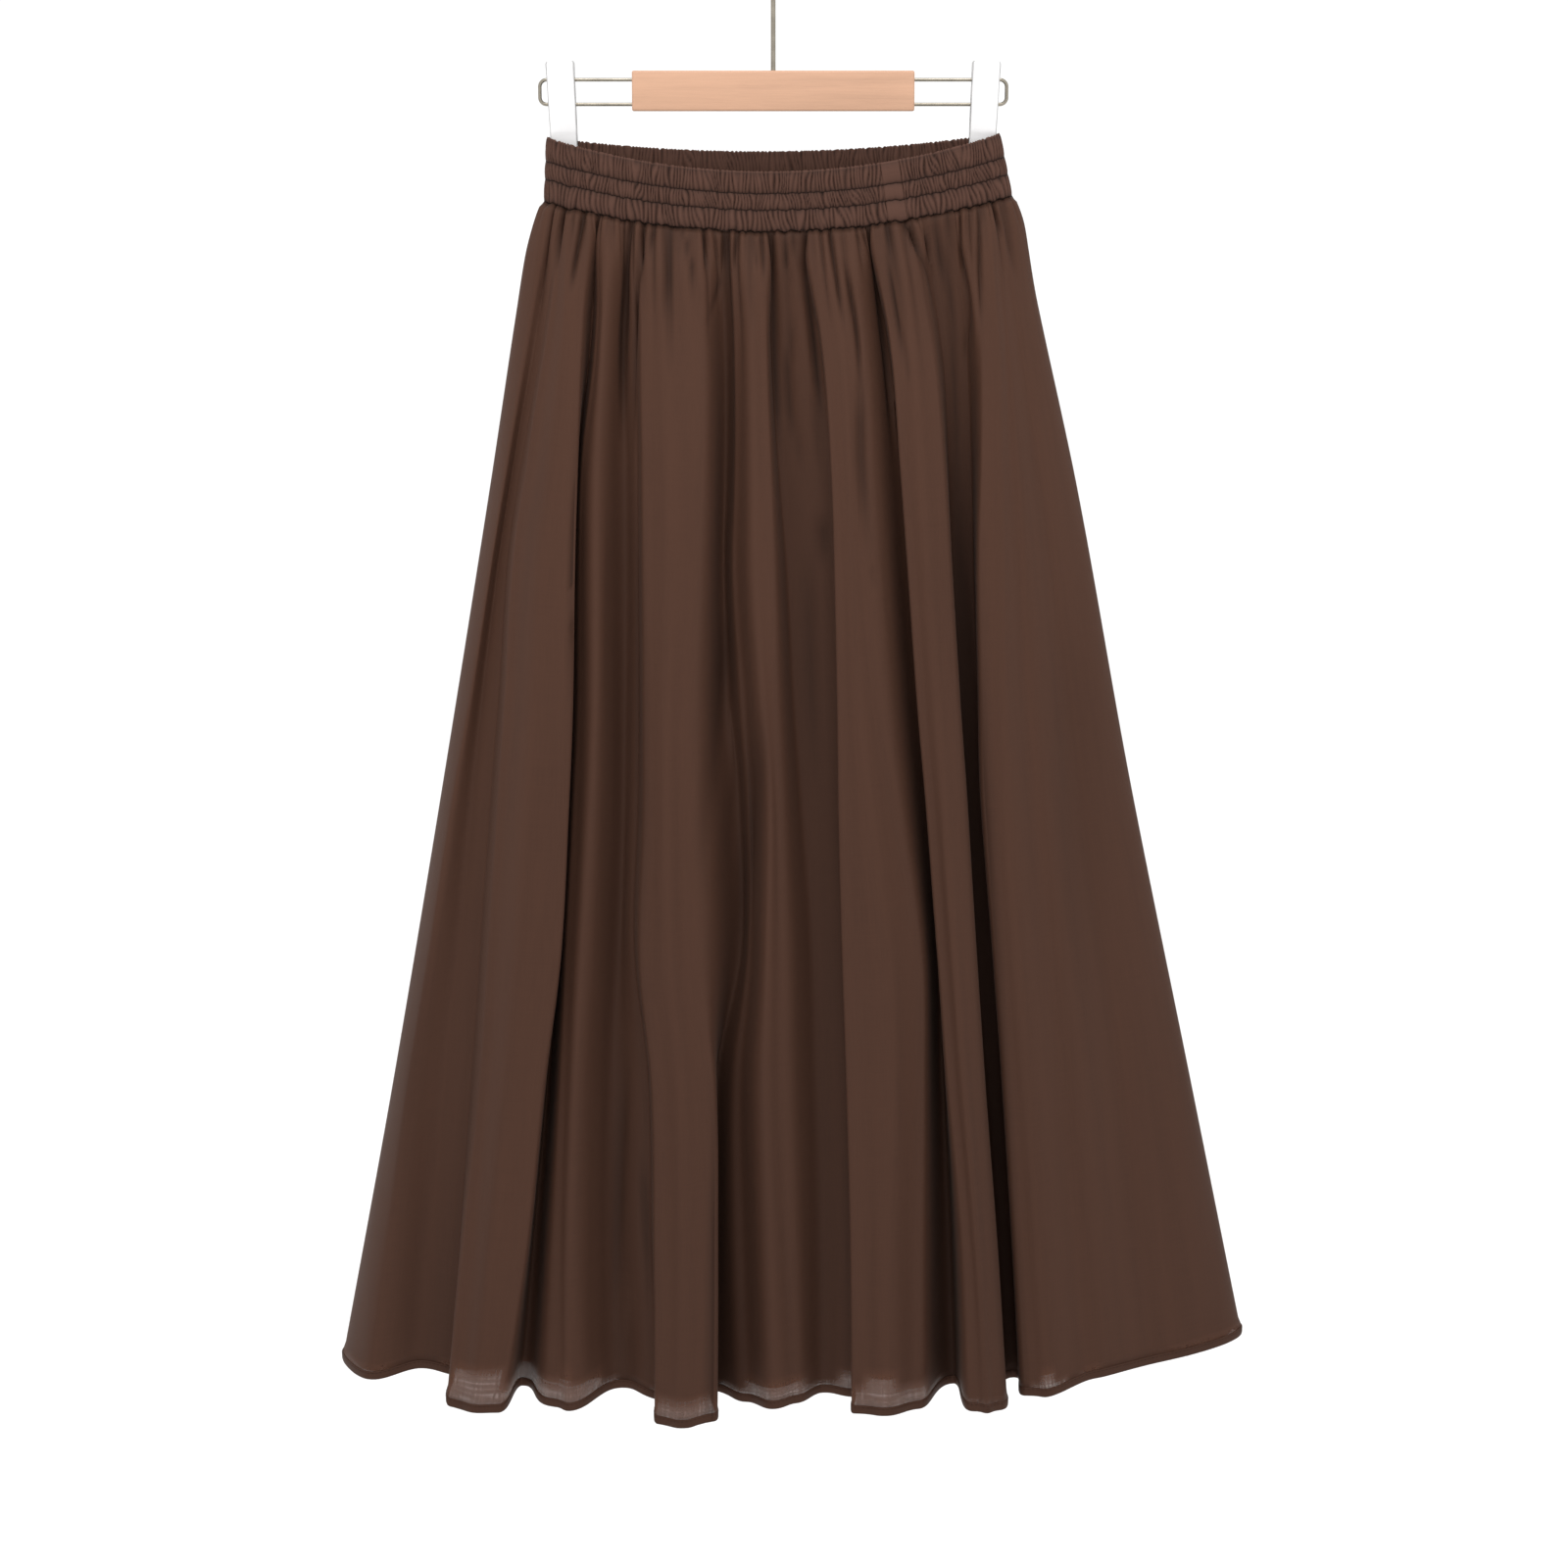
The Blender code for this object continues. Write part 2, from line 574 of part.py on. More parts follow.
def jaw_mesh(facing):
    """One jaw about the clip's own middle, its foot at z = 0; facing -1 is the front."""
    mesh = bmesh.new()
    height = CLIP_TOP - CLIP_FOOT
    loops = []
    for side in (-1, 1):
        outline = [(row.inner, row.height) for row in JAW]
        outline += [(row.outer, row.height) for row in reversed(JAW)]
        loop = []
        for reach, up in outline:
            width = 0.5 * mix(CLIP_FOOT_WIDTH, CLIP_TOP_WIDTH, up * MM / height)
            loop.append(mesh.verts.new((side * width, facing * reach * MM, up * MM)))
        loops.append(loop)
    count = len(loops[0])
    for i in range(count):
        j = (i + 1) % count
        mesh.faces.new([loops[0][i], loops[0][j], loops[1][j], loops[1][i]])
    mesh.faces.new(loops[0][::-1])
    mesh.faces.new(loops[1])
    bmesh.ops.recalc_face_normals(mesh, faces=mesh.faces)
    return mesh


def build_clip(side, name, plastic, steel):
    """Two jaws closed on the back waistband and the coil spring between them."""
    lean = Matrix.Rotation(math.radians(side * CLIP_LEAN), 4, "Y")
    pivot = Vector((side * CLIP_X, 0.0, RAIL_HEIGHTS[1]))
    for facing, jaw in ((-1, "front"), (1, "back")):
        mesh = jaw_mesh(facing)
        foot = Matrix.Translation((0.0, 0.0, CLIP_FOOT - RAIL_HEIGHTS[1]))
        bmesh.ops.transform(mesh, matrix=Matrix.Translation(pivot) @ lean @ foot, verts=mesh.verts)
        item = finish_mesh("clip_" + name + "_" + jaw, mesh, plastic)
        edge = item.modifiers.new("edge", "BEVEL")
        edge.width = CLIP_EDGE
        edge.segments = 1
    rest = RAIL_HEIGHTS[1] + RAIL_RADIUS + SEAM_GAP + SPRING_RADIUS
    mesh = bmesh.new()
    turn = Matrix.Rotation(math.radians(90.0), 4, "Y")
    bmesh.ops.create_cone(mesh, cap_ends=True, segments=16, radius1=SPRING_RADIUS,
                          radius2=SPRING_RADIUS, depth=SPRING_LENGTH,
                          matrix=Matrix.Translation((pivot.x, 0.0, rest)) @ turn)
    finish_mesh("clip_" + name + "_spring", mesh, steel)


def main():
    clear_scene()
    voile = plain_material("brown_voile", CLOTH_COLOUR, 0.75)
    lining = plain_material("brown_lining", LINING_COLOUR, 0.8)
    wood = plain_material("pale_wood", WOOD_COLOUR, 0.6)
    steel = plain_material("bright_steel", STEEL_COLOUR, 0.28, metallic=1.0)
    plastic = plain_material("white_plastic", PLASTIC_COLOUR, 0.4)
    skirt = Tube()
    build_panel("front", skirt, FRONT_FOLDS, False, voile)
    build_panel("back", skirt, BACK_FOLDS, True, voile)
    build_lining("front", FRONT_FOLDS, LINING_FRONT_CRESTS, False, lining)
    build_lining("back", BACK_FOLDS, LINING_BACK_CRESTS, True, lining)
    build_waistband(voile)
    build_bar(wood)
    build_hook(steel)
    for side, name in ((-1, "left"), (1, "right")):
        build_rail(side, name, steel)
        build_clip(side, name, plastic, steel)


main()
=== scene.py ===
"""Looks of a gathered a-line midi skirt of sheer brown voile on a clip hanger.

Metres, +Z up, the front faces -Y.  Tables are in millimetres and are read through MM.
The cloth is made from grids: u runs across a panel, v runs down it.  Every row of a
grid is one section through the skirt, laid out by the table of folds.
"""
import math
from collections import namedtuple

import bmesh
import bpy
from mathutils import Matrix, Vector, noise


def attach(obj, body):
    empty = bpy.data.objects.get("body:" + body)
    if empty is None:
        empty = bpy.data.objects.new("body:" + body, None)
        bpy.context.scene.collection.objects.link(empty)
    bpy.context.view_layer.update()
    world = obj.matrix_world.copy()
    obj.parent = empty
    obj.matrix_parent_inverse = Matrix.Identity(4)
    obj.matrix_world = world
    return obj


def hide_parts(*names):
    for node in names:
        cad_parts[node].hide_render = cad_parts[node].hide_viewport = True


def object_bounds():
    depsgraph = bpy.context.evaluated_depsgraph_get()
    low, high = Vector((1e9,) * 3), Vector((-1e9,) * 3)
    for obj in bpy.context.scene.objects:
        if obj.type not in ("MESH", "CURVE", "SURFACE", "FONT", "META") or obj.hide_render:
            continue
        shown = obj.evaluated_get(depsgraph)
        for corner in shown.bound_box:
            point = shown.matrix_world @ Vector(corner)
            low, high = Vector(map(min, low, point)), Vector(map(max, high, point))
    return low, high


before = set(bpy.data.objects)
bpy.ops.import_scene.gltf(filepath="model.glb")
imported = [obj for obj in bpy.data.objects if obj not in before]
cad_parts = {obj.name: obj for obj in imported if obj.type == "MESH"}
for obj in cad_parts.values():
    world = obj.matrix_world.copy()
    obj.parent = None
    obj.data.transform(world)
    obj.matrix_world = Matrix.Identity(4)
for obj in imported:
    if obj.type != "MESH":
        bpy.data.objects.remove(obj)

bl_info = {
    "name": "Gathered voile skirt on a clip hanger",
    "version": (1, 0, 0),
    "blender": (4, 5, 0),
    "location": "View3D > Sidebar > Skirt",
    "description": "Builds the skirt, its lining, its waistband and its hanger on the packed frame",
    "category": "Object",
}

CAD_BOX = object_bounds()
MM = 0.001
SEAM_GAP = 0.3 * MM
SIDE_GAP = 0.05 * MM
SIDE_TUCK = Vector((0.75, 1.1)) * MM     # the back's edge lies this far in and forward, under the front's

# Outline and depth of the skirt, as in the frame's own cloth.
WAIST_SIDE_Y = -3.0 * MM
WAIST_FRONT = 28.0 * MM
WAIST_BACK = 8.0 * MM
OVAL = 2.3
SIDE_FOLD_FULLNESS = 0.4
STEEP_FULLNESS = 0.30        # how far a steep flank of a fold swings out, per depth
CLIPPED_DOWN_TO = 0.06       # below this the back hangs free of the clips
STILL_COLUMNS = 6.0          # waves and creases die out over this many columns beside a side seam

Section = namedtuple("Section", "t left right side front back growth")
SECTIONS = [Section(*row) for row in (
    (0.000, -151.2, 157.6, -3.0, 28, 11, 0.00),
    (0.020, -158.0, 164.0, -3.0, 30, 13, 0.12),
    (0.045, -164.0, 168.5, -3.0, 32, 16, 0.22),
    (0.090, -170.5, 175.5, -2.5, 36, 20, 0.34),
    (0.250, -191.5, 204.0, -2.0, 46, 28, 0.50),
    (0.500, -226.0, 242.0, -1.0, 57, 38, 0.66),
    (0.760, -263.5, 285.8, 0.0, 67, 47, 0.84),
    (1.000, -300.8, 326.0, 0.0, 75, 55, 1.00),
)]

# Folds of the front, left to right.  x is the fold's place at each of the STATIONS
# down the skirt; relief its distance out of the oval and turn how full the cloth
# turns over there, both at the LEVELS; drop is the height of the hem below it.
STATIONS = (0.0, 0.11, 0.205, 0.286, 0.40, 0.482, 0.607, 0.715, 0.86, 1.0)
LEVELS = (0.0, 0.05, 0.286, 0.607, 1.0)
Fold = namedtuple("Fold", "name x relief turn drop")
FRONT_FOLDS = [Fold(*row) for row in (
    ("left_flap", (-148, -163, -176, -187, -202, -214, -231, -246, -263, -279),
     (0, 1, 4, 7, 9), (1, 1, 1, 1, 1.2), 986),
    ("left_soft_valley", (-143, -157, -171, -182, -194, -201, -211, -221, -232, -242),
     (0, -2, -5, -7, -10), (1, 1, 1, 1, 1), 979),
    ("left_lobe_root", (-140, -153, -167, -177, -184, -190, -198, -205, -214, -221),
     (0, 0, -4, -6, -8), (1, 1, 1, 1, 1.5), 981),
    ("left_lobe_start", (-135, -149, -162, -172, -178, -183, -190, -196, -209, -220),
     (0, 3, 8, 14, 22), (1, 1, 1, 1.1, 2), 993),
    ("left_lobe", (-130, -137, -144, -151, -156, -160, -167, -177, -190, -203),
     (0, 9, 18, 25, 29), (1, 1, 1.1, 1.1, 1), 994),
    ("left_lobe_edge", (-122, -127, -130, -132, -134, -137, -143, -155, -168, -186),
     (0, 7, 17, 23, 25), (1, 1.2, 1.8, 1.6, 1.9), 994),
    ("first_valley", (-116, -121, -131, -137, -139, -142, -147, -152, -162, -172),
     (0, -6, -13, -18, -12), (1, 1, 1.2, 1.3, 1.7), 987),
    ("second_lobe_start", (-112, -117, -126, -128, -129, -132, -138, -142, -147, -150),
     (0, 1, 2, 6, 14), (1, 1, 1, 1.3, 2.2), 992),
    ("second_lobe", (-108, -113, -117, -118, -119, -122, -129, -134, -138, -138),
     (0, 5, 9, 12, 19), (1, 1.2, 1.2, 1.2, 1.3), 993),
    ("second_valley", (-96, -97, -98, -98, -99, -100, -103, -107, -108, -104),
     (0, -5, -12, -14, -9), (1, 1, 1, 1, 1.4), 985),
    ("front_lobe_root", (-90, -90, -90, -90, -90, -91, -94, -85, -83, -80),
     (0, 0, -5, -5, 2), (1, 1, 1, 1.2, 1.6), 989),
    ("front_lobe_start", (-85, -86, -85, -85, -85, -85, -88, -80, -79, -79),
     (0, 6, 10, 13, 20), (1, 1, 1.1, 1.4, 2), 1000),
    ("front_lobe", (-70, -69, -68, -68, -70, -70, -68, -61, -59, -60),
     (0, 9, 16, 21, 28), (1, 1, 1, 1, 1.2), 1000),
    ("front_lobe_edge", (-51, -47, -48, -50, -55, -55, -51, -41, -40, -41),
     (0, 8, 14, 15, 25), (1, 1.4, 1.7, 1.6, 2), 997),
    ("front_valley", (-35, -32, -32, -33, -29, -24, -22, -38, -42, -41),
     (0, -7, -18, -22, -23), (1, 1, 1.1, 1.3, 1.6), 992),
    ("middle_root", (-27, -25, -25, -26, -20, -16, -16, -24, -23, -19),
     (0, 0, -6, -12, -9), (1, 1, 1, 1, 1.2), 994),
    ("middle_lobe", (-16, -14, -13, -12, -6, -2, -4, -6, -2, 1),
     (0, 8, 11, 11, 11), (1, 1.2, 1.2, 1.2, 1.3), 992),
    ("middle_lobe_edge", (-7, -5, -2, 0, 2, 4, 6, 7, 11, 16),
     (0, 6, 9, 6, 5), (1, 1.4, 1.6, 1.2, 1.2), 990),
    ("middle_valley", (0, 1, 5, 10, 15, 20, 27, 30, 33, 34),
     (0, -7, -14, -14, -10), (1, 1, 1.1, 1, 1.2), 988),
    ("right_lobe_root", (20, 32, 40, 43, 46, 47, 50, 52, 54, 54),
     (0, -4, -10, -10, -4), (1, 1, 1.1, 1.2, 1.6), 989),
    ("right_lobe_start", (23, 34, 39, 41, 43, 44, 47, 50, 53, 54),
     (0, 6, 12, 16, 18), (1, 1.2, 1.5, 1.6, 2), 993),
    ("right_lobe", (36, 45, 49, 52, 57, 63, 73, 77, 76, 76),
     (0, 8, 15, 21, 26), (1, 1, 1, 1, 1.2), 992),
    ("right_lobe_edge", (50, 58, 60, 63, 72, 82, 98, 100, 99, 99),
     (0, 6, 13, 14, 13), (1, 1, 1.6, 1.3, 1.2), 992),
    ("right_valley", (62, 77, 85, 91, 99, 105, 112, 114, 119, 123),
     (0, -7, -13, -19, -24), (1, 1, 1.2, 1.2, 1.7), 987),
    ("standing_fold_start", (66, 79, 85, 90, 97, 103, 111, 118, 129, 134),
     (0, 7, 13, 18, 25), (1, 1.2, 1.4, 1.8, 2.2), 990),
    ("standing_fold", (78, 92, 98, 102, 108, 113, 120, 127, 137, 144),
     (0, 10, 19, 26, 30), (1, 1, 1, 1, 1), 990),
    ("standing_fold_edge", (88, 104, 111, 115, 121, 126, 132, 138, 147, 154),
     (0, 7, 15, 21, 25), (1, 1.6, 1.8, 1.8, 2.2), 990),
    ("deep_valley", (97, 112, 117, 120, 125, 129, 136, 142, 151, 159),
     (0, -8, -20, -27, -29), (1, 1, 1.2, 1.4, 1.7), 988),
    ("deep_valley_floor", (118, 127, 131, 133, 136, 138, 147, 153, 161, 166),
     (0, -7, -20, -28, -30), (1, 1, 1.2, 1.4, 1.7), 987),
    ("panel_start", (132, 138, 138, 137, 139, 141, 149, 156, 164, 171),
     (0, 4, 11, 14, 15), (1, 1.2, 1.8, 2, 2.2), 984),
    ("panel_edge", (139, 147, 148, 149, 151, 154, 161, 168, 177, 186),
     (0, 5, 13, 17, 18), (1, 1, 1, 1, 1), 984),
    ("panel_rise", (143, 154, 159, 164, 170, 176, 187, 196, 208, 218),
     (0, 2, 5, 7, 6), (1, 1, 1, 1, 1), 977),
    ("panel_middle", (148, 162, 174, 184, 197, 206, 221, 235, 249, 262),
     (0, 0, -3, -5, -7), (1, 1, 1, 1, 1), 974),
)]
FRONT_CORNERS = (984, 966)
GATHERS = ((7.6, 4.4, 0.105, 3.7), (3.6, 2.4, 0.034, 9.1))    # pitch, depth, reach down, seed
GATHERS_END = 0.13
PLEAT_ROUNDNESS = 0.36
PUFF = 3.2 * MM
SEAM_SHADE = 0.0028          # painted shade under the waistband's seam reaches down to here
SEAM_DARKNESS = 0.7
PLEAT_FULL = 4.2 * MM        # a gather this deep gets the full painted shade
LOW_SHADE = 0.36             # painted shade: the cloth's colour darkens towards its hem
FOLD_FULL = 62.0 * MM        # a fold this deep gets the full painted shade too

# Folds of the back, right to left.
BACK_STATIONS = (0.0, 0.11, 0.285, 0.48, 0.71, 1.0)
BACK_FOLDS = [Fold(*row) for row in (
    ("right_flap", (147, 158, 181, 206, 232, 262), (0, 2, 5, 7, 9), (1, 1, 1, 1.2, 1.3), 972),
    ("right_dip", (128, 136, 151, 172, 192, 214), (0, -2, -5, -7, -9), (1, 1, 1, 1, 1), 981),
    ("right_ridge", (104, 112, 127, 138, 158, 172), (0, 4, 8, 11, 15), (1, 1, 1.5, 1.8, 2), 987),
    ("right_back_dip", (80, 86, 97, 110, 121, 133), (0, -3, -7, -9, -13), (1, 1, 1, 1, 1.1), 985),
    ("centre_right_ridge", (54, 60, 66, 78, 84, 91), (0, 4, 9, 12, 17), (1, 1, 1.6, 1.9, 2.2), 989),
    ("centre_right_dip", (30, 32, 38, 42, 49, 52), (0, -3, -6, -9, -12), (1, 1, 1, 1, 1.1), 987),
    ("centre_ridge", (6, 5, 8, 9, 11, 8), (0, 3, 6, 9, 12), (1, 1, 1.3, 1.5, 1.6), 990),
    ("centre_left_dip", (-22, -24, -27, -30, -35, -38), (0, -3, -7, -10, -14), (1, 1, 1, 1, 1.1), 986),
    ("left_ridge", (-46, -50, -58, -65, -74, -84), (0, 4, 9, 13, 18), (1, 1, 1.6, 2, 2.3), 989),
    ("left_back_dip", (-74, -79, -88, -99, -110, -124), (0, -3, -6, -9, -12), (1, 1, 1, 1, 1.1), 985),
    ("left_outer_ridge", (-102, -110, -120, -134, -149, -168), (0, 3, 7, 10, 14), (1, 1, 1.4, 1.7, 1.9), 988),
    ("left_dip", (-126, -136, -150, -168, -190, -213), (0, -2, -4, -6, -8), (1, 1, 1, 1, 1), 984),
    ("left_flap", (-143, -155, -177, -202, -229, -256), (0, 2, 4, 6, 8), (1, 1, 1, 1.2, 1.3), 984),
)]

# Creases laid over the folds: troughs have a negative depth and ridges a positive
# one.  x is the crease's place where it starts, halfway and where it ends, and
# start and end say how far down the skirt it runs.  left and right are its widths
# on its two sides, so that a crease can be sharp on one side only.
Crease = namedtuple("Crease", "x start end depth left right")
FRONT_CREASES = [Crease(*row) for row in (
    # gathers that open out under the seam, left to right
    ((-137, -140, -143), 0, 0.06, -4.2, 1.9, 1.5), ((-124, -129, -134), 0, 0.075, -5.1, 1.9, 1.5),
    ((-114, -116, -118), 0, 0.03, -2.9, 1.3, 1.3), ((-93, -98, -99), 0, 0.2, -4.8, 2.5, 1.6),
    ((-84, -91, -92), 0, 0.2, -4.8, 1.9, 1.2), ((-77, -80, -81), 0, 0.03, -2.2, 1.5, 1.5),
    ((-71, -70, -73), 0, 0.09, -2.4, 2.1, 2.1), ((-66, -68, -67), 0, 0.13, -2.2, 2.1, 2.1),
    ((-59, -52, -49), 0, 0.08, -2.9, 1.9, 1.2), ((-45, -45, -45), 0, 0.04, -3.2, 1.2, 1.2),
    ((-34, -39, -44), 0.035, 0.085, -2.4, 1.8, 1.8), ((-33, -33, -33), 0, 0.04, -2.9, 1.2, 1.2),
    ((-30, -28, -29), 0, 0.3, -4.2, 3, 2), ((-24, -25, -25), 0, 0.04, -2.6, 1.2, 1.2),
    ((-13, -12, -10), 0, 0.035, -2.2, 1.2, 1.2), ((-8, -7, -6), 0, 0.045, -2.6, 1.2, 1.2),
    ((-1, 1, 4), 0, 0.23, -5.4, 2.7, 1.2), ((6, 9, 14), 0, 0.05, -2.6, 1.2, 1.2),
    ((13, 10, 25), 0.06, 0.22, -2.6, 2.6, 2), ((12, 15, 18), 0, 0.04, -2.9, 1.2, 1.2),
    ((20, 29, 36), 0, 0.26, -6.4, 1.8, 1.3), ((21, 27, 31), 0, 0.23, -3.8, 1.5, 1.5),
    ((37, 42, 48), 0, 0.09, -4.5, 1.5, 1.2), ((46, 55, 58), 0.02, 0.15, -4.2, 1.6, 1.3),
    ((58, 59, 66), 0.11, 0.29, -2.9, 4, 3), ((57, 59, 61), 0, 0.02, -2.2, 1.2, 1.2),
    ((62, 73, 80), 0, 0.2, -6.1, 1.3, 1.9), ((73, 81, 93), 0, 0.15, -4.2, 1.5, 1.5),
    ((86, 100, 107), 0, 0.085, -5.8, 1.6, 1.3), ((98, 100, 102), 0.01, 0.045, -3.2, 1.2, 1.2),
    ((104, 109, 113), 0, 0.07, -2.9, 1.5, 1.5), ((113, 120, 124), 0, 0.24, -2.6, 1.9, 1.6),
    ((120, 129, 126), 0.01, 0.14, -3.5, 1.5, 1.3), ((125, 133, 129), 0.01, 0.17, 2.6, 2, 2),
    ((135, 136, 137), 0, 0.11, -3.5, 1.9, 1.2), ((143, 147, 150), 0, 0.035, -3.2, 1.5, 1.5),
    ((149, 155, 162), 0, 0.075, -2.6, 2.2, 2.2),
    # long soft creases
    ((112, 151, 190), 0.06, 1.5, -4.4, 6.5, 6.5), ((-129, -131, -133), 0.15, 0.56, -2.2, 2.5, 4),
    ((-36, -42, -42), 0.64, 1.4, -2.6, 4, 5), ((-137, -157, -168), 0.02, 0.3, 1.8, 2, 7),
    ((-105, -108, -106), 0.2, 0.52, -1.2, 4, 6), ((-91, -87, -89), 0.18, 0.64, -1.8, 7, 3),
    ((-98, -104, -108), 0.69, 0.975, -1.6, 5, 3), ((-90, -86, -81), 0.78, 0.94, -1.6, 3, 4),
    ((-99, -101, -103), 0.905, 0.96, 1.6, 4, 4), ((-79, -78, -78), 0.56, 0.8, 1, 7, 7),
    ((-32, -38, -49), 0.3, 0.56, -2.6, 7, 5), ((-8, -14, -22), 0.38, 0.64, -2.8, 7, 6),
    ((-22, -30, -38), 0.34, 0.56, 2.4, 6, 5), ((24, 26, 30), 0.25, 0.5, -1.4, 7, 4),
    ((24, 30, 36), 0.06, 0.255, 2, 3, 2), ((33, 34, 36), 0.235, 0.285, -1.8, 5, 5),
    ((64, 66, 68), 0.275, 0.3, -0.9, 2.4, 2.4), ((190, 204, 222), 0.3, 0.76, -0.9, 16, 22),
    ((160, 166, 176), 0.12, 0.42, 0.8, 10, 14), ((-235, -252, -268), 0.56, 0.9, -1.2, 12, 12),
)]
BACK_CREASES = [Crease(*row) for row in (
    ((142, 145, 149), 0, 0.07, -3.5, 1.6, 1.6), ((133, 134, 138), 0, 0.12, -3.8, 1.8, 1.5),
    ((121, 125, 131), 0, 0.21, -4.2, 2.1, 1.5), ((113, 113, 114), 0, 0.05, -2.6, 1.3, 1.3),
    ((104, 107, 108), 0, 0.09, -3.2, 1.5, 1.8), ((93, 97, 104), 0, 0.26, -4.5, 1.8, 2.4),
    ((86, 87, 90), 0, 0.06, -2.6, 1.2, 1.2), ((77, 79, 84), 0, 0.15, -4.2, 1.6, 1.3),
    ((68, 68, 70), 0, 0.045, -2.9, 1.3, 1.3), ((61, 64, 65), 0, 0.11, -3.5, 1.6, 1.6),
    ((50, 52, 56), 0, 0.19, -4.2, 1.5, 2.1), ((43, 43, 45), 0, 0.05, -2.6, 1.2, 1.2),
    ((34, 35, 37), 0, 0.1, -3.8, 1.5, 1.5), ((24, 27, 29), 0, 0.24, -4.2, 1.9, 1.5),
    ((15, 15, 16), 0, 0.07, -3.2, 1.3, 1.3), ((5, 4, 3), 0, 0.04, -2.6, 1.2, 1.2),
    ((-3, -4, -6), 0, 0.13, -3.8, 1.6, 1.6), ((-14, -16, -19), 0, 0.2, -4.5, 1.5, 2.1),
    ((-23, -23, -24), 0, 0.055, -2.6, 1.2, 1.2), ((-31, -33, -36), 0, 0.09, -3.8, 1.5, 1.5),
    ((-41, -45, -50), 0, 0.27, -3.8, 2.2, 1.6), ((-50, -51, -53), 0, 0.05, -2.6, 1.2, 1.2),
    ((-59, -61, -65), 0, 0.12, -3.8, 1.6, 1.6), ((-69, -72, -77), 0, 0.18, -3.8, 1.5, 1.9),
    ((-79, -80, -82), 0, 0.06, -2.9, 1.3, 1.3), ((-88, -91, -95), 0, 0.14, -4.2, 1.8, 1.5),
    ((-98, -101, -104), 0, 0.08, -2.9, 1.3, 1.3), ((-107, -112, -119), 0, 0.25, -4.2, 1.6, 2.2),
    ((-118, -119, -121), 0, 0.05, -2.9, 1.3, 1.3), ((-127, -131, -137), 0, 0.13, -3.8, 1.6, 1.6),
    ((-139, -143, -148), 0, 0.08, -3.2, 1.6, 1.6), ((118, 128, 140), 0.22, 0.64, -3.5, 6, 9),
    ((52, 60, 70), 0.3, 0.7, 2.6, 7, 5), ((20, 24, 30), 0.42, 0.86, -3.2, 5, 8),
    ((-12, -16, -22), 0.26, 0.56, 2.9, 5, 6), ((-44, -50, -56), 0.52, 0.9, -2.9, 6, 6),
    ((-96, -108, -124), 0.36, 0.82, -3.5, 8, 6), ((-160, -176, -198), 0.4, 0.88, 2.2, 9, 9),
    ((168, 184, 204), 0.48, 0.9, -2.2, 10, 9),
)]

# Lining: how far it stands out behind the named folds, and its hem there.
LINING_INSET = 1.4 * MM
LINING_DEPTH_CLEAR = 47.0 * MM
LINING_SIDE_CLEAR = 4.0 * MM
LINING_FRONT_CRESTS = {"left_flap": (22, 983), "left_lobe": (40, 973), "second_lobe": (50, 976),
                       "front_lobe": (52, 988), "middle_lobe": (42, 983), "right_lobe": (52, 974),
                       "standing_fold": (34, 990), "panel_edge": (36, 977), "panel_rise": (38, 976),
                       "panel_middle": (12, 975)}
LINING_BACK_CRESTS = {"right_flap": (20, 966), "right_ridge": (38, 977), "centre_right_ridge": (42, 979),
                      "centre_ridge": (36, 980), "left_ridge": (44, 979), "left_outer_ridge": (38, 978),
                      "left_flap": (20, 977)}
LINING_CORNERS = (981, 963)
LINING_DIP_LOWER = 5
LINING_INTO_BAND = 1.5 * MM      # the lining's top edge is sewn in this far up the band's wall
SEEN_ABOVE_LINING = 7.0 * MM     # the light behind the cloth shows this far above the lining's hem
SEEN_RAMP = 3.0 * MM
SHEER_FROM = 0.94                # and nowhere above this row
SHEER_COLUMNS = 2                # but over this many columns beside each side seam
LIGHT_THROUGH = 1.8              # unlined cloth, lit from behind, against the same cloth over the lining
LINING_SHARE = (0.0, 0.0, 0.06, 0.24, 1.0)    # of its crests that the lining has at the LEVELS
LINING_TURN = (1.0, 1.05, 1.1, 1.15, 1.2)

# Grids of the cloth
ROWS_DOWN = 108
LINING_ROWS = 84
FRONT_SPACING = 2.7 * MM
BACK_SPACING = 3.0 * MM
LINING_SPACING = 4.5 * MM
FINE_STEPS = 12                  # of each stretch, when its length is measured
CLOTH_LENGTH = 0.80
HEM_BITE = 0.7 * MM              # the cloth runs this far into the top of its hem

# Waistband
WAIST_TOP = (-143.9, -141.4)
WAIST_SEAM = (-185.2, -181.0)
FRONT_TOP_SAG = 23.0
FRONT_SEAM_SAG = 20.5
BACK_SAG = 10.6
BAND_LEFT = (-149.3, -151.2)
BAND_RIGHT = (149.4, 157.6)
STITCH_LINES = (0.36, 0.64)
JOIN_X = 76.0 * MM
JOIN_WIDTH = 12.0 * MM
JOIN_GAP = 0.08 * MM
JOIN_STEPS = 12
BAND_FRONT_STEP = 0.52 * MM
BAND_BACK_STEP = 0.62 * MM
BAND_BULGES = (0.0, 0.05, 0.12, 0.26, 0.42, 0.58, 0.74, 0.88, 0.95)    # places down one channel
PLAIN_CREST = 0.97

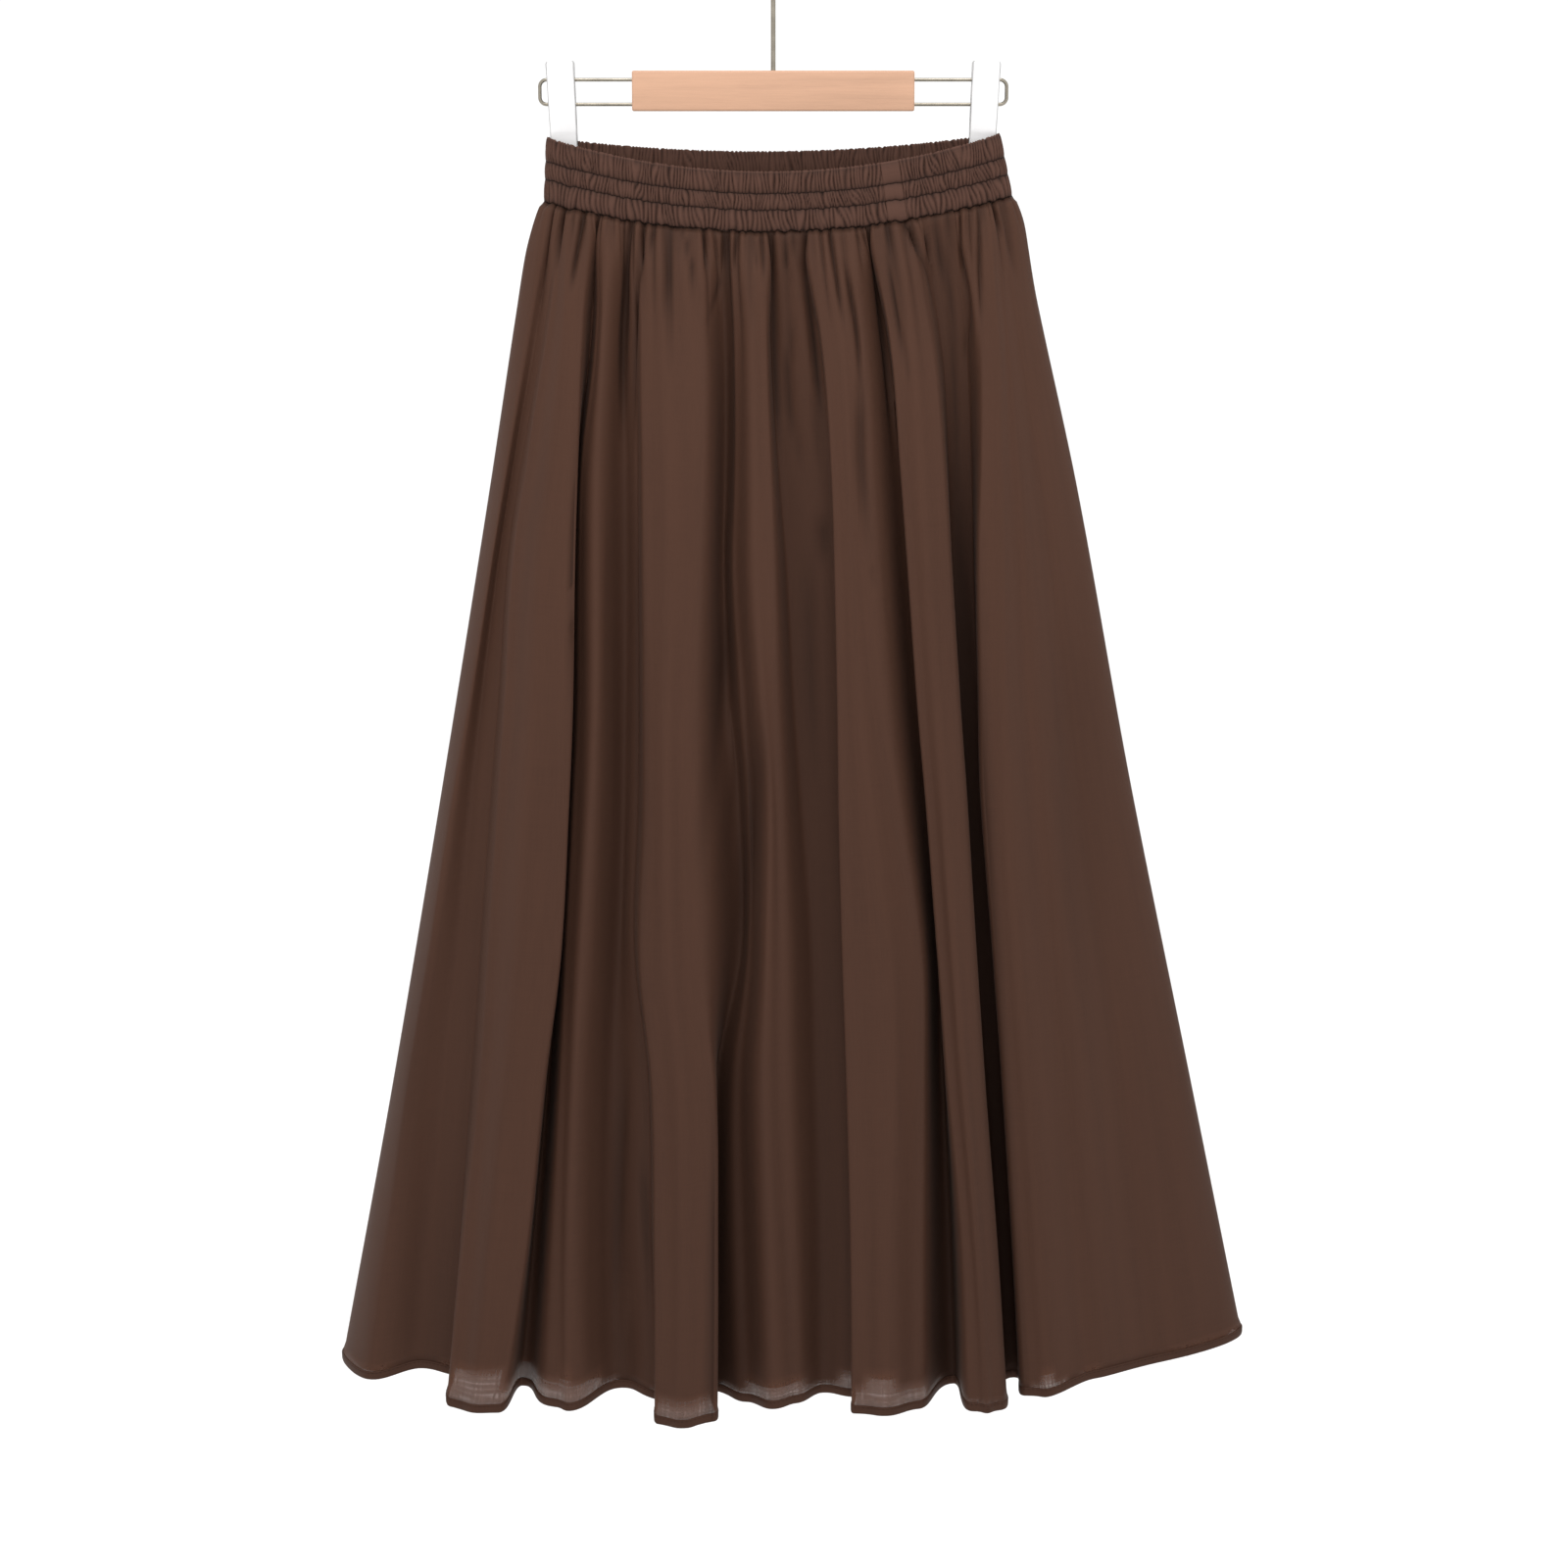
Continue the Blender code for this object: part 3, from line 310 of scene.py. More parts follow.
# Hanger
BAR_SIZE = Vector((186.0, 10.5, 26.4)) * MM
BAR_TOP = -100.0 * MM
BAR_EDGE = 1.4 * MM
RAIL_RADIUS = 1.2 * MM
RAIL_HEIGHTS = (-106.0 * MM, -122.0 * MM)
RAIL_END = 153.8 * MM
RAIL_CORNER = 4.5 * MM
RAIL_SEAT = 11.0 * MM
HOOK_RADIUS = 1.6 * MM
HOOK_BEND = 20.6 * MM
NECK_BEND = 8.0 * MM
HOOK_SEAT = 12.0 * MM
HOOK_TIP_ANGLE = 205.0
CLIP_X = 139.1 * MM
CLIP_LEAN = 2.6
CLIP_TOP = -95.0 * MM
CLIP_FOOT = -156.0 * MM
CLIP_TOP_WIDTH = 18.4 * MM
CLIP_FOOT_WIDTH = 17.5 * MM
SPRING_RADIUS = 3.2 * MM
SPRING_LENGTH = 8.0 * MM
SPRING_WIRE = 0.5 * MM
SPRING_TURNS = 6.0
SPRING_STEPS = 132
BOSS_RADIUS = 2.6 * MM
BOSS_HEIGHT = 0.5 * MM
BOSS_OUT = 6.15 * MM
BOSS_UP = 39.5 * MM
JAW_STEPS = 48
JAW_EDGE = 0.45 * MM
JAW_CORNER = 1.6
GRIP = (50.0, 60.5, 1.5, 0.28)    # ribs of the finger grip: from, to, pitch, height
JawRow = namedtuple("JawRow", "height inner outer")
JAW = [JawRow(*row) for row in (
    (0, 1.95, 4.2),
    (13, 1.95, 5),
    (17, 4, 5.4),
    (33, 4, 6.2),
    (46, 4, 6.2),
    (62, 6.6, 8.4),
)]

# Camera of the photograph
CAMERA_PLACE = Vector((7.1, -2600.0, -109.5)) * MM
CAMERA_PITCH = 10.2
FLOOR_BELOW_HEM = 0.36
FLOOR_REACH = 18.0
LIGHT_AIM = Vector((0.0, 0.0, -0.55))


# ---------------------------------------------------------------- sizes and colours

def number_setting(name, text, default, low, high, **kind):
    return bpy.props.FloatProperty(name=name, description=text, default=default, min=low, max=high, **kind)


def length_setting(name, text, default, low, high):
    return number_setting(name, text, default, low, high, subtype="DISTANCE", unit="LENGTH", precision=5)


def colour_setting(name, text, default):
    return bpy.props.FloatVectorProperty(name=name, description=text, default=default, size=3,
                                         min=0.0, max=1.0, subtype="COLOR")


class SkirtClothSettings(bpy.types.PropertyGroup):
    """Sizes and colours of the cloth."""

    voile_thickness: length_setting("Voile thickness", "Thickness of the outer cloth", 0.0005, 0.0002, 0.002)
    lining_thickness: length_setting("Lining thickness", "Thickness of the lining", 0.0006, 0.0002, 0.002)
    hem_height: length_setting("Hem height", "Height of the turned hem", 0.0060, 0.003, 0.02)
    hem_thickness: length_setting("Hem thickness", "Thickness of the turned hem", 0.0016, 0.001, 0.0026)
    voile_colour: colour_setting("Voile colour", "Colour of the outer cloth", (0.0665, 0.0300, 0.0187))
    band_colour: colour_setting("Band colour", "Colour of the puckered waistband", (0.0850, 0.0410, 0.0290))
    lining_colour: colour_setting("Lining colour", "Colour of the lining", (0.050, 0.0228, 0.0142))
    thread_colour: colour_setting("Thread colour", "Colour of the sewing thread", (0.014, 0.0072, 0.0055))
    cover: number_setting("Cover", "Share of the light that one face of the voile stops", 0.70, 0.3, 1.0,
                          subtype="FACTOR")


class SkirtBandSettings(bpy.types.PropertyGroup):
    """Sizes of the shirred waistband."""

    pucker_pitch: length_setting("Pucker pitch", "Mean distance between two puckers", 0.0025, 0.0015, 0.006)
    pucker_depth: length_setting("Pucker depth", "Depth of a pucker between two stitch lines",
                                 0.0019, 0.0, 0.003)
    stitch_length: length_setting("Stitch length", "Length of one stitch on the waistband",
                                  0.0023, 0.0015, 0.005)


class SkirtHangerSettings(bpy.types.PropertyGroup):
    """Colours of the hanger."""

    wood_colour: colour_setting("Wood colour", "Colour of the wooden bar", (0.545, 0.315, 0.202))
    steel_colour: colour_setting("Steel colour", "Colour of the rails and the hook", (0.31, 0.28, 0.23))
    plastic_colour: colour_setting("Plastic colour", "Colour of the clips", (0.83, 0.82, 0.82))


class SkirtStageSettings(bpy.types.PropertyGroup):
    """Light and camera."""

    lens: number_setting("Lens", "Focal length in millimetres on a 36 mm sensor", 89.17, 20.0, 200.0)
    sky_strength: number_setting("Sky strength", "Strength of the white surroundings", 1.08, 0.0, 4.0)
    key_power: number_setting("Key light", "Power of the large soft light at the front", 8.0, 0.0, 400.0,
                              unit="POWER")


# ---------------------------------------------------------------- curves and tables

def mix(a, b, share):
    return a + (b - a) * share


def ease(t):
    t = min(1.0, max(0.0, t))
    return t * t * (3.0 - 2.0 * t)


def hermite(a, b, slope_a, slope_b, s):
    """Cubic from a to b; slopes are per unit of s."""
    s2, s3 = s * s, s * s * s
    return (a * (2 * s3 - 3 * s2 + 1) + slope_a * (s3 - 2 * s2 + s)
            + b * (3 * s2 - 2 * s3) + slope_b * (s3 - s2))


def read_table(keys, values, t):
    """Smooth curve through values at increasing keys, read at t."""
    t = min(keys[-1], max(keys[0], t))
    index = max(i for i in range(len(keys) - 1) if keys[i] <= t)
    slopes = []
    for i in (index, index + 1):
        before, after = max(0, i - 1), min(len(keys) - 1, i + 1)
        slopes.append((values[after] - values[before]) / (keys[after] - keys[before]))
    width = keys[index + 1] - keys[index]
    return hermite(values[index], values[index + 1], slopes[0] * width, slopes[1] * width,
                   (t - keys[index]) / width)


def section_value(column, t):
    return read_table([row.t for row in SECTIONS], [getattr(row, column) for row in SECTIONS], t)


def oval(q):
    """Height of the unit flattened oval at q, from -1 to 1."""
    return max(0.0, 1.0 - abs(q) ** OVAL) ** (1.0 / OVAL)


def waist_back(q):
    """Back waistband: pulled flat in the clips, sagging between them."""
    flat_from, flat_to = 0.82, 0.975
    if abs(q) < flat_from:
        return WAIST_BACK * math.cos(0.5 * math.pi * q / flat_from) ** 2
    turn = max(0.0, (abs(q) - flat_to) / (1.0 - flat_to))
    return mix(WAIST_SIDE_Y, 0.0, math.sqrt(max(0.0, 1.0 - turn * turn)))


class Tube:
    """Oval that the cloth hangs round: the skirt's own, or the lining's inside it."""

    def __init__(self, t, inset=0.0, side_clear=0.0, depth_clear=0.0):
        growth = section_value("growth", t)
        self.t = t
        self.growth = growth
        edge = 2.0 * inset + side_clear * growth
        self.left = section_value("left", t) * MM + edge
        self.right = section_value("right", t) * MM - edge
        self.side_y = section_value("side", t) * MM
        self.inset = inset + depth_clear * growth
        self.front = section_value("front", t) * MM - self.inset
        self.back = section_value("back", t) * MM - self.inset

    def across(self, x):
        return (2.0 * x - self.left - self.right) / (self.right - self.left)

    def front_y(self, x):
        return self.side_y - self.front * oval(self.across(x))

    def back_y(self, x):
        q = self.across(x)
        hanging = self.side_y + self.back * oval(q)
        clipped = waist_back(q) - self.inset * min(1.0, 1.7 * oval(q))
        return mix(clipped, hanging, ease(self.t / CLIPPED_DOWN_TO))


# ---------------------------------------------------------------- folds

def section_chain(tube, folds, stations, back):
    """Control points of one half section: (point, direction, turn) for every fold."""
    facing = 1.0 if back else -1.0
    wall_y = tube.back_y if back else tube.front_y
    start, end = (tube.right, tube.left) if back else (tube.left, tube.right)
    along = math.copysign(1.0, end - start)
    chain = [(Vector((start, tube.side_y)), Vector((0.0, facing)), 1.0)]
    for fold in folds:
        x = read_table(stations, fold.x, tube.t) * MM
        x = mix(start, end, min(0.985, max(0.015, (x - start) / (end - start))))
        tilt = (wall_y(x + MM) - wall_y(x - MM)) / (2.0 * MM)
        relief = read_table(LEVELS, fold.relief, tube.t) * MM
        turn = read_table(LEVELS, fold.turn, tube.t)
        direction = Vector((along, along * tilt)).normalized()
        chain.append((Vector((x, wall_y(x) + facing * relief)), direction, turn))
    chain.append((Vector((end, tube.side_y)), Vector((0.0, -facing)), 1.0))
    return chain


def stretch_reach(direction, across, deep, turn):
    if direction.x:
        return max(across, STEEP_FULLNESS * deep) * turn
    return max(deep, SIDE_FOLD_FULLNESS * across) * turn


def chain_points(chain, counts):
    """Points along the chain, with counts[i] steps on its stretch i."""
    points = []
    for (a, dir_a, turn_a), (b, dir_b, turn_b), count in zip(chain, chain[1:], counts):
        across, deep = abs(b.x - a.x), abs(b.y - a.y)
        slope_a = dir_a * stretch_reach(dir_a, across, deep, turn_a)
        slope_b = dir_b * stretch_reach(dir_b, across, deep, turn_b)
        for step in range(count):
            points.append(hermite(a, b, slope_a, slope_b, step / count))
    points.append(chain[-1][0].copy())
    return points


def chain_counts(chain, spacing):
    """Steps for each stretch of the chain, from its length and the wanted spacing."""
    fine = chain_points(chain, [FINE_STEPS] * (len(chain) - 1))
    counts = []
    for stretch in range(len(chain) - 1):
        piece = fine[stretch * FINE_STEPS:(stretch + 1) * FINE_STEPS + 1]
        length = sum((b - a).length for a, b in zip(piece, piece[1:]))
        counts.append(max(5, round(length / spacing)))
    return counts


def outward(points, i):
    """Unit vector out of the skirt at point i of a section."""
    last = len(points) - 1
    run = points[min(i + 1, last)] - points[max(i - 1, 0)]
    if i in (0, last):
        run = Vector((0.0, math.copysign(1.0, run.y)))
    run.normalize()
    return Vector((run.y, -run.x))


def crease_lift(creases, x, t):
    """Height of all creases at x and t, in metres."""
    lift = 0.0
    for crease in creases:
        share = (t - crease.start) / (crease.end - crease.start)
        if not 0.0 <= share < 1.0:
            continue
        fade_in = 1.0 if crease.start == 0.0 else ease(share / 0.3)
        strength = fade_in * ease((1.0 - share) / 0.55)
        middle = read_table((0.0, 0.5, 1.0), crease.x, share)
        away = x / MM - middle
        width = crease.left if away < 0.0 else crease.right
        if abs(away) < 3.0 * width:
            lift += crease.depth * strength * math.exp(-(away / width) ** 2)
    return lift * MM


def seam_height(x, ends, sag, left, right):
    """Height of a waist edge: straight between its ends, less a parabolic sag."""
    share = min(1.0, max(0.0, (x - left) / (right - left)))
    return (mix(ends[0], ends[1], share) - sag * 4.0 * share * (1.0 - share)) * MM


def gathered_seam(x, back):
    left, right = SECTIONS[0].left * MM, SECTIONS[0].right * MM
    scallop = 1.7 * MM * noise.noise(Vector((x / (3.4 * MM), 5.0 if back else 0.0, 1.7)))
    return seam_height(x, WAIST_SEAM, BACK_SAG if back else FRONT_SEAM_SAG, left, right) + scallop


def hem_heights(drops, counts):
    """Height of the hem at every column, on a smooth curve through the folds' drops."""
    keys = [sum(counts[:i]) for i in range(len(counts) + 1)]
    return [-read_table(keys, drops, column) * MM for column in range(keys[-1] + 1)]


def gathers(x, t, back):
    """Gathers sewn into the seam: each has its own length, and opens out with the cloth."""
    if t > GATHERS_END:
        return 0.0
    side = 40.0 if back else 0.0
    height = 0.0
    for pitch, depth, reach, seed in GATHERS:
        slide = 0.45 * pitch * noise.noise(Vector((x / (1.7 * pitch * MM), seed, side)))
        place = (x / MM + slide) / pitch
        own = 0.5 + 0.5 * noise.cell(Vector((round(place), seed, side)))
        fade = 1.0 - ease(t / (reach * (0.35 + 1.1 * own)))
        pleat = 1.0 - abs(math.sin(math.pi * place)) ** PLEAT_ROUNDNESS
        height -= depth * (0.55 + 0.7 * own) * pleat * fade
    return height * MM


def puff(t):
    """Fullness of the gathered cloth just under the seam."""
    return PUFF * ease((t + 0.0015) / 0.006) * (1.0 - ease((t - 0.004) / 0.085))


def soft_waves(x, t, back):
    """Faint long waves of thin cloth, less than a millimetre deep."""
    side = 40.0 if back else 0.0
    wave = noise.noise(Vector((x / (21.0 * MM) + side, t * 2.6, 1.3)))
    ripple = noise.noise(Vector((x / (6.0 * MM) + side, t * 5.0, 6.1)))
    return (0.7 * wave + 0.10 * ripple) * MM


class Panel:
    """One hanging panel of cloth as rows of points that a grid is laid on."""

    def __init__(self, folds, stations, creases, back, spacing, corners, inset=(0.0, 0.0, 0.0)):
        self.folds = folds
        self.stations = stations
        self.creases = creases
        self.back = back
        self.inset = inset
        self.counts = chain_counts(self.chain(1.0), spacing)
        corners = corners[::-1] if back else corners
        drops = [corners[0]] + [fold.drop for fold in folds] + [corners[1]]
        self.drops = hem_heights(drops, self.counts)
        self.tops = chain_points(self.chain(0.0), self.counts)
        self.columns = sum(self.counts)

    def chain(self, t):
        return section_chain(Tube(t, *self.inset), self.folds, self.stations, self.back)

    def surface(self, t, lift=0.0, off=0.0, tucked=False):
        """Row of points at t, lifted and moved outwards, and the painted shade of each point."""
        flat = chain_points(self.chain(t), self.counts)
        tube = Tube(t, *self.inset)
        wall_y = tube.back_y if self.back else tube.front_y
        out = 1.0 if self.back else -1.0
        lowest = -0.8 * (LINING_INSET + LINING_DEPTH_CLEAR * tube.growth)
        # painted shade just under the waistband's seam
        painted_seam_shade = SEAM_DARKNESS * (1.0 - ease(t / SEAM_SHADE)) if self.creases else 0.0
        points, crease_shades = [], []
        for i, point in enumerate(flat):
            normal = outward(flat, i)
            facing = abs(normal.y)
            top = self.tops[i]
            away = soft_waves(point.x, t, self.back) * min(1.0, t * 12.0)
            pleat = 0.0
            if self.creases:
                pleat = (crease_lift(self.creases, point.x, t) + gathers(top.x, t, self.back)) * facing
                relief = out * (point.y - wall_y(point.x))
                away = max(away + pleat + puff(t), (lowest - relief) / max(0.5, facing))
            away *= min(1.0, min(i, self.columns - i) / STILL_COLUMNS)
            height = mix(gathered_seam(top.x, self.back) - SEAM_GAP, self.drops[i], t) + lift
            place = point + normal * (away + off)
            points.append(Vector((place.x, place.y, height)))
            # painted shade in the gathers and creases, and under the seam
            crease_shades.append(min(1.0, max(0.0, -pleat / PLEAT_FULL) + painted_seam_shade))
        for end in (points[0], points[-1]):
            end.y += 0.5 * SIDE_GAP * out
            if tucked:
                end.x -= math.copysign(SIDE_TUCK.x, end.x)
                end.y -= SIDE_TUCK.y
        # painted shade: darker deeper in a fold, and towards the hem
        deep = below_crests(points, out)
        low = LOW_SHADE * t
        return points, [min(1.0, (d / FOLD_FULL) ** 2 + pleat + low) for d, pleat in zip(deep, crease_shades)]

    def row(self, t, lift=0.0, off=0.0):
        return self.surface(t, lift, off)[0]


def below_crests(points, facing):
    """How far every point of a row lies behind a sheet stretched over the row's crests."""
    crests = []
    for point in sorted(points, key=lambda p: p.x):
        out = (point.x, facing * point.y)
        while len(crests) > 1 and ((crests[-1][0] - crests[-2][0]) * (out[1] - crests[-2][1])
                                   >= (crests[-1][1] - crests[-2][1]) * (out[0] - crests[-2][0])):
            crests.pop()
        crests.append(out)
    deep = []
    for point in points:
        index = max([i for i in range(len(crests) - 1) if crests[i][0] <= point.x] or [0])
        (x_a, out_a), (x_b, out_b) = crests[index], crests[index + 1]
        share = (point.x - x_a) / max(1e-9, x_b - x_a)
        deep.append(max(0.0, mix(out_a, out_b, min(1.0, share)) - facing * point.y))
    return deep


def grid_mesh(rows, marks=None):
    """Grid laid on rows of points, with u across and v down as its UV map, in metres.

    marks holds named values, a row of them for each row of points.  Cloth that is marked
    unlined takes the piece's second material.
    """
    down, across = len(rows) - 1, len(rows[0]) - 1
    mesh = bmesh.new()
    bmesh.ops.create_grid(mesh, x_segments=across, y_segments=down, size=0.5, calc_uvs=True)
    uv_layer = mesh.loops.layers.uv.verify()
    width = max(sum((b - a).length for a, b in zip(row, row[1:])) for row in (rows[-1], rows[0]))
    length = sum((b[across // 2] - a[across // 2]).length for a, b in zip(rows, rows[1:]))
    for face in mesh.faces:
        for loop in face.loops:
            u, v = loop.vert.co.x + 0.5, 0.5 - loop.vert.co.y
            loop[uv_layer].uv = (u * width, v * length)
    layers = {name: mesh.verts.layers.float.new(name) for name in (marks or ())}
    for vert in mesh.verts:
        column = round((vert.co.x + 0.5) * across)
        row = round((0.5 - vert.co.y) * down)
        vert.co = rows[row][column]
        for name, layer in layers.items():
            vert[layer] = marks[name][row][column]
    if "unlined" in layers:
        for face in mesh.faces:
            face.material_index = int(any(vert[layers["unlined"]] > 0.0 for vert in face.verts))
    return mesh


def new_object(name, data):
    """Object with its data, linked to the scene."""
    made = bpy.data.objects.new(name, data)
    bpy.context.scene.collection.objects.link(made)
    return made


def mesh_object(name, mesh):
    """Object from a bmesh, which is freed."""
    data = bpy.data.meshes.new(name)
    mesh.to_mesh(data)
    mesh.free()
    return new_object(name, data)


def finish_piece(name, mesh, material, slot, *replaces, wall=0.0, second=None):
    """Object from a bmesh, riding on the root, with an even wall if it is cloth."""
    piece = mesh_object(name, mesh)
    piece.data.shade_smooth()
    piece.data.materials.append(material)
    if second:
        piece.data.materials.append(second)
    if wall:
        shell = piece.modifiers.new("wall", "SOLIDIFY")
        shell.thickness = wall
        shell.offset = 0.0
        shell.use_rim = True
        shell.use_even_offset = False
    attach(piece, "root")
    if replaces:
        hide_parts(*replaces)
    return piece


# ---------------------------------------------------------------- materials

class Nodes:
    """Short way to add and join shader nodes."""

    def __init__(self, name):
        self.material = bpy.data.materials.new(name)
        self.material.use_nodes = True
        self.tree = self.material.node_tree
        self.shader = self.tree.nodes["Principled BSDF"]

    def feed(self, socket, value):
        """Joins a socket to the value if that is a socket too, or else sets it."""
        if isinstance(value, bpy.types.NodeSocket):
            self.tree.links.new(value, socket)
        else:
            socket.default_value = value

    def add(self, kind, inputs, output, **settings):
        """Output of a new node, with its inputs fed by name."""
        node = self.tree.nodes.new("ShaderNode" + kind)
        for key, value in settings.items():
            setattr(node, key, value)
        for key, value in inputs.items():
            self.feed(node.inputs[key], value)
        return node.outputs[output]

    def uv(self, x, y):
        place = self.add("UVMap", {}, "UV")
        return self.add("Mapping", {"Vector": place, "Scale": (x, y, 1.0)}, "Vector")

    def own_place(self, x, y, z, turn=(0.0, 0.0, 0.0)):
        place = self.add("TexCoord", {}, "Object")
        return self.add("Mapping", {"Vector": place, "Scale": (x, y, z), "Rotation": turn}, "Vector")

    def noise(self, vector, detail=2.0, roughness=0.5, flat=False):
        inputs = {"Vector": vector, "Scale": 1.0, "Detail": detail, "Roughness": roughness}
        return self.add("TexNoise", inputs, "Fac", noise_dimensions="2D" if flat else "3D")

    def threads(self, x, y, detail):
        """Noise that follows the cloth's threads."""
        return self.noise(self.uv(x, y), detail=detail, flat=True)

    def mark(self, name):
        return self.add("Attribute", {}, "Fac", attribute_name=name)

    def maths(self, operation, a, b):
        return self.add("Math", {0: a, 1: b}, "Value", operation=operation)

    def plus(self, a, b):
        return self.maths("ADD", a, b)

    def times(self, a, b):
        return self.maths("MULTIPLY", a, b)

    def ramp(self, factor, colour, *stops):
        """Colour ramp over shares of one colour."""
        node = self.tree.nodes.new("ShaderNodeValToRGB")
        elements = node.color_ramp.elements
        while len(elements) < len(stops):
            elements.new(0.5)
        for element, (position, share) in zip(elements, stops):
            element.position = position
            element.color = (*scaled(colour, share), 1.0)
        self.feed(node.inputs["Fac"], factor)
        return node.outputs["Color"]

    def dimmed(self, shades, share):
        return self.add("VectorMath", {"Vector": shades, "Scale": share}, "Vector", operation="SCALE")

    def remap(self, value, low, high):
        return self.add("MapRange", {"Value": value, "To Min": low, "To Max": high}, "Result")

    def bump(self, height, strength, distance):
        inputs = {"Strength": strength, "Distance": distance, "Height": height}
        self.feed(self.shader.inputs["Normal"], self.add("Bump", inputs, "Normal"))

    def weave(self, pitch):
        """Plain weave: warp and weft threads that pass over and under each other."""
        place = self.uv(1.0, 1.0)
        warp = self.add("TexWave", {"Scale": 0.314 / pitch, "Vector": place}, "Fac", bands_direction="X")
        weft = self.add("TexWave", {"Scale": 0.314 / (pitch * 1.1), "Vector": place}, "Fac",
                        bands_direction="Y")
        return self.times(warp, weft)

    def finish(self, base, roughness, **inputs):
        """Feeds the shader and gives the material; inputs are named as its sockets are."""
        self.feed(self.shader.inputs["Base Color"], base)
        self.feed(self.shader.inputs["Roughness"], roughness)
        for key, value in inputs.items():
            self.feed(self.shader.inputs[key.replace("_", " ")], value)
        return self.material


def scaled(colour, share):
    return tuple(min(1.0, channel * share) for channel in colour)


def voile_material(name, colour, cover=1.0, darkest_shade=0.46):
    """Sheer plain weave with slubs along both threads and faint streaks of dye."""
    nodes = Nodes(name)
    slubs = nodes.plus(nodes.times(nodes.threads(1500.0, 55.0, 1.0), 0.3),
                       nodes.times(nodes.threads(45.0, 1300.0, 1.0), 0.25))
    tone = nodes.plus(slubs, nodes.times(nodes.threads(90.0, 5.0, 2.0), 0.45))
    shades = nodes.ramp(tone, colour, (0.28, 0.90), (0.50, 1.0), (0.74, 1.08))
    # painted shade: the colour is dimmed deep in folds and gathers, under the seam and towards the hem
    shades = nodes.dimmed(shades, nodes.remap(nodes.mark("painted_shade"), 1.0, darkest_shade))
    alpha = 1.0
    if cover < 1.0:
        unlined = nodes.mark("unlined")
        # painted light: unlined cloth is brightened as if lit from behind
        shades = nodes.dimmed(shades, nodes.remap(unlined, 1.0, LIGHT_THROUGH))
        gaps = nodes.plus(nodes.threads(900.0, 30.0, 0.0), nodes.threads(30.0, 800.0, 0.0))
        holes = nodes.times(nodes.remap(gaps, 1.0 - cover + 0.20, 1.0 - cover - 0.10), unlined)
        alpha = nodes.maths("SUBTRACT", 1.0, holes)
    nodes.bump(nodes.plus(nodes.weave(0.00046), nodes.times(slubs, 0.9)), 0.2, 0.0002)
    return nodes.finish(shades, nodes.remap(tone, 0.56, 0.70), Alpha=alpha, Specular_IOR_Level=0.10,
                        Sheen_Weight=0.02, Sheen_Roughness=0.45, Sheen_Tint=(0.92, 0.80, 0.72, 1.0))


def lining_material(name, colour):
    """Opaque, smooth lining with a close weave."""
    nodes = Nodes(name)
    streak = nodes.noise(nodes.uv(160.0, 6.0), detail=4.0)
    thread = nodes.noise(nodes.uv(1800.0, 90.0))
    tone = nodes.plus(nodes.times(streak, 0.6), nodes.times(thread, 0.4))
    nodes.bump(nodes.weave(0.00036), 0.3, 0.0002)
    return nodes.finish(nodes.ramp(tone, colour, (0.30, 0.86), (0.52, 1.0), (0.75, 1.12)),
                        nodes.remap(tone, 0.46, 0.62), Specular_IOR_Level=0.3, Sheen_Weight=0.06)


def thread_material(name, colour):
    """Twisted sewing thread."""
    nodes = Nodes(name)
    twist = nodes.noise(nodes.own_place(2600.0, 2600.0, 2600.0))
    nodes.bump(twist, 0.3, 0.0001)
    return nodes.finish(nodes.ramp(twist, colour, (0.3, 0.7), (0.7, 1.5)), nodes.remap(twist, 0.55, 0.8),
                        Specular_IOR_Level=0.08)


def wood_material(name, colour):
    """Pale close-grained wood, its grain running along the bar and rising to the right."""
    nodes = Nodes(name)
    turn = (0.0, math.radians(3.0), 0.0)
    rings = nodes.noise(nodes.own_place(5.0, 160.0, 150.0, turn), detail=5.0, roughness=0.6)
    pores = nodes.noise(nodes.own_place(60.0, 1500.0, 1500.0, turn), detail=3.0, roughness=0.7)
    cloud = nodes.noise(nodes.own_place(9.0, 20.0, 24.0, turn))
    tone = nodes.plus(nodes.times(rings, 0.55), nodes.times(pores, 0.20))
    tone = nodes.plus(tone, nodes.times(cloud, 0.25))
    nodes.bump(nodes.plus(pores, rings), 0.18, 0.0003)
    return nodes.finish(nodes.ramp(tone, colour, (0.30, 0.80), (0.47, 0.97), (0.58, 1.06), (0.75, 1.16)),
                        nodes.remap(tone, 0.48, 0.66), Coat_Weight=0.08)


def steel_material(name, colour):
    """Nickel-plated wire with fine drawing marks along it."""
    nodes = Nodes(name)
    marks = nodes.noise(nodes.own_place(90.0, 2400.0, 2400.0))
    cloud = nodes.noise(nodes.own_place(140.0, 140.0, 140.0), detail=3.0)
    nodes.bump(marks, 0.12, 0.0001)
    return nodes.finish(nodes.ramp(cloud, colour, (0.35, 0.82), (0.6, 1.0), (0.8, 1.12)),
                        nodes.remap(marks, 0.16, 0.34), Metallic=1.0)


def plastic_material(name, colour):
    """Moulded white plastic with a fine grain, faint rubbed patches and painted shade along its side edges.
    """
    nodes = Nodes(name)
    grain = nodes.noise(nodes.own_place(2200.0, 2200.0, 2200.0))
    cloud = nodes.noise(nodes.own_place(70.0, 70.0, 60.0), detail=3.0)
    shades = nodes.ramp(cloud, colour, (0.3, 0.95), (0.55, 1.0), (0.8, 1.03))
    # painted shade along the jaw's side edges, broken up by the cloud
    edge_dimming = nodes.remap(nodes.times(nodes.mark("painted_edge_shade"), cloud), 1.0, 0.05)
    nodes.bump(grain, 0.10, 0.0001)
    return nodes.finish(nodes.dimmed(shades, edge_dimming), nodes.remap(cloud, 0.30, 0.46))


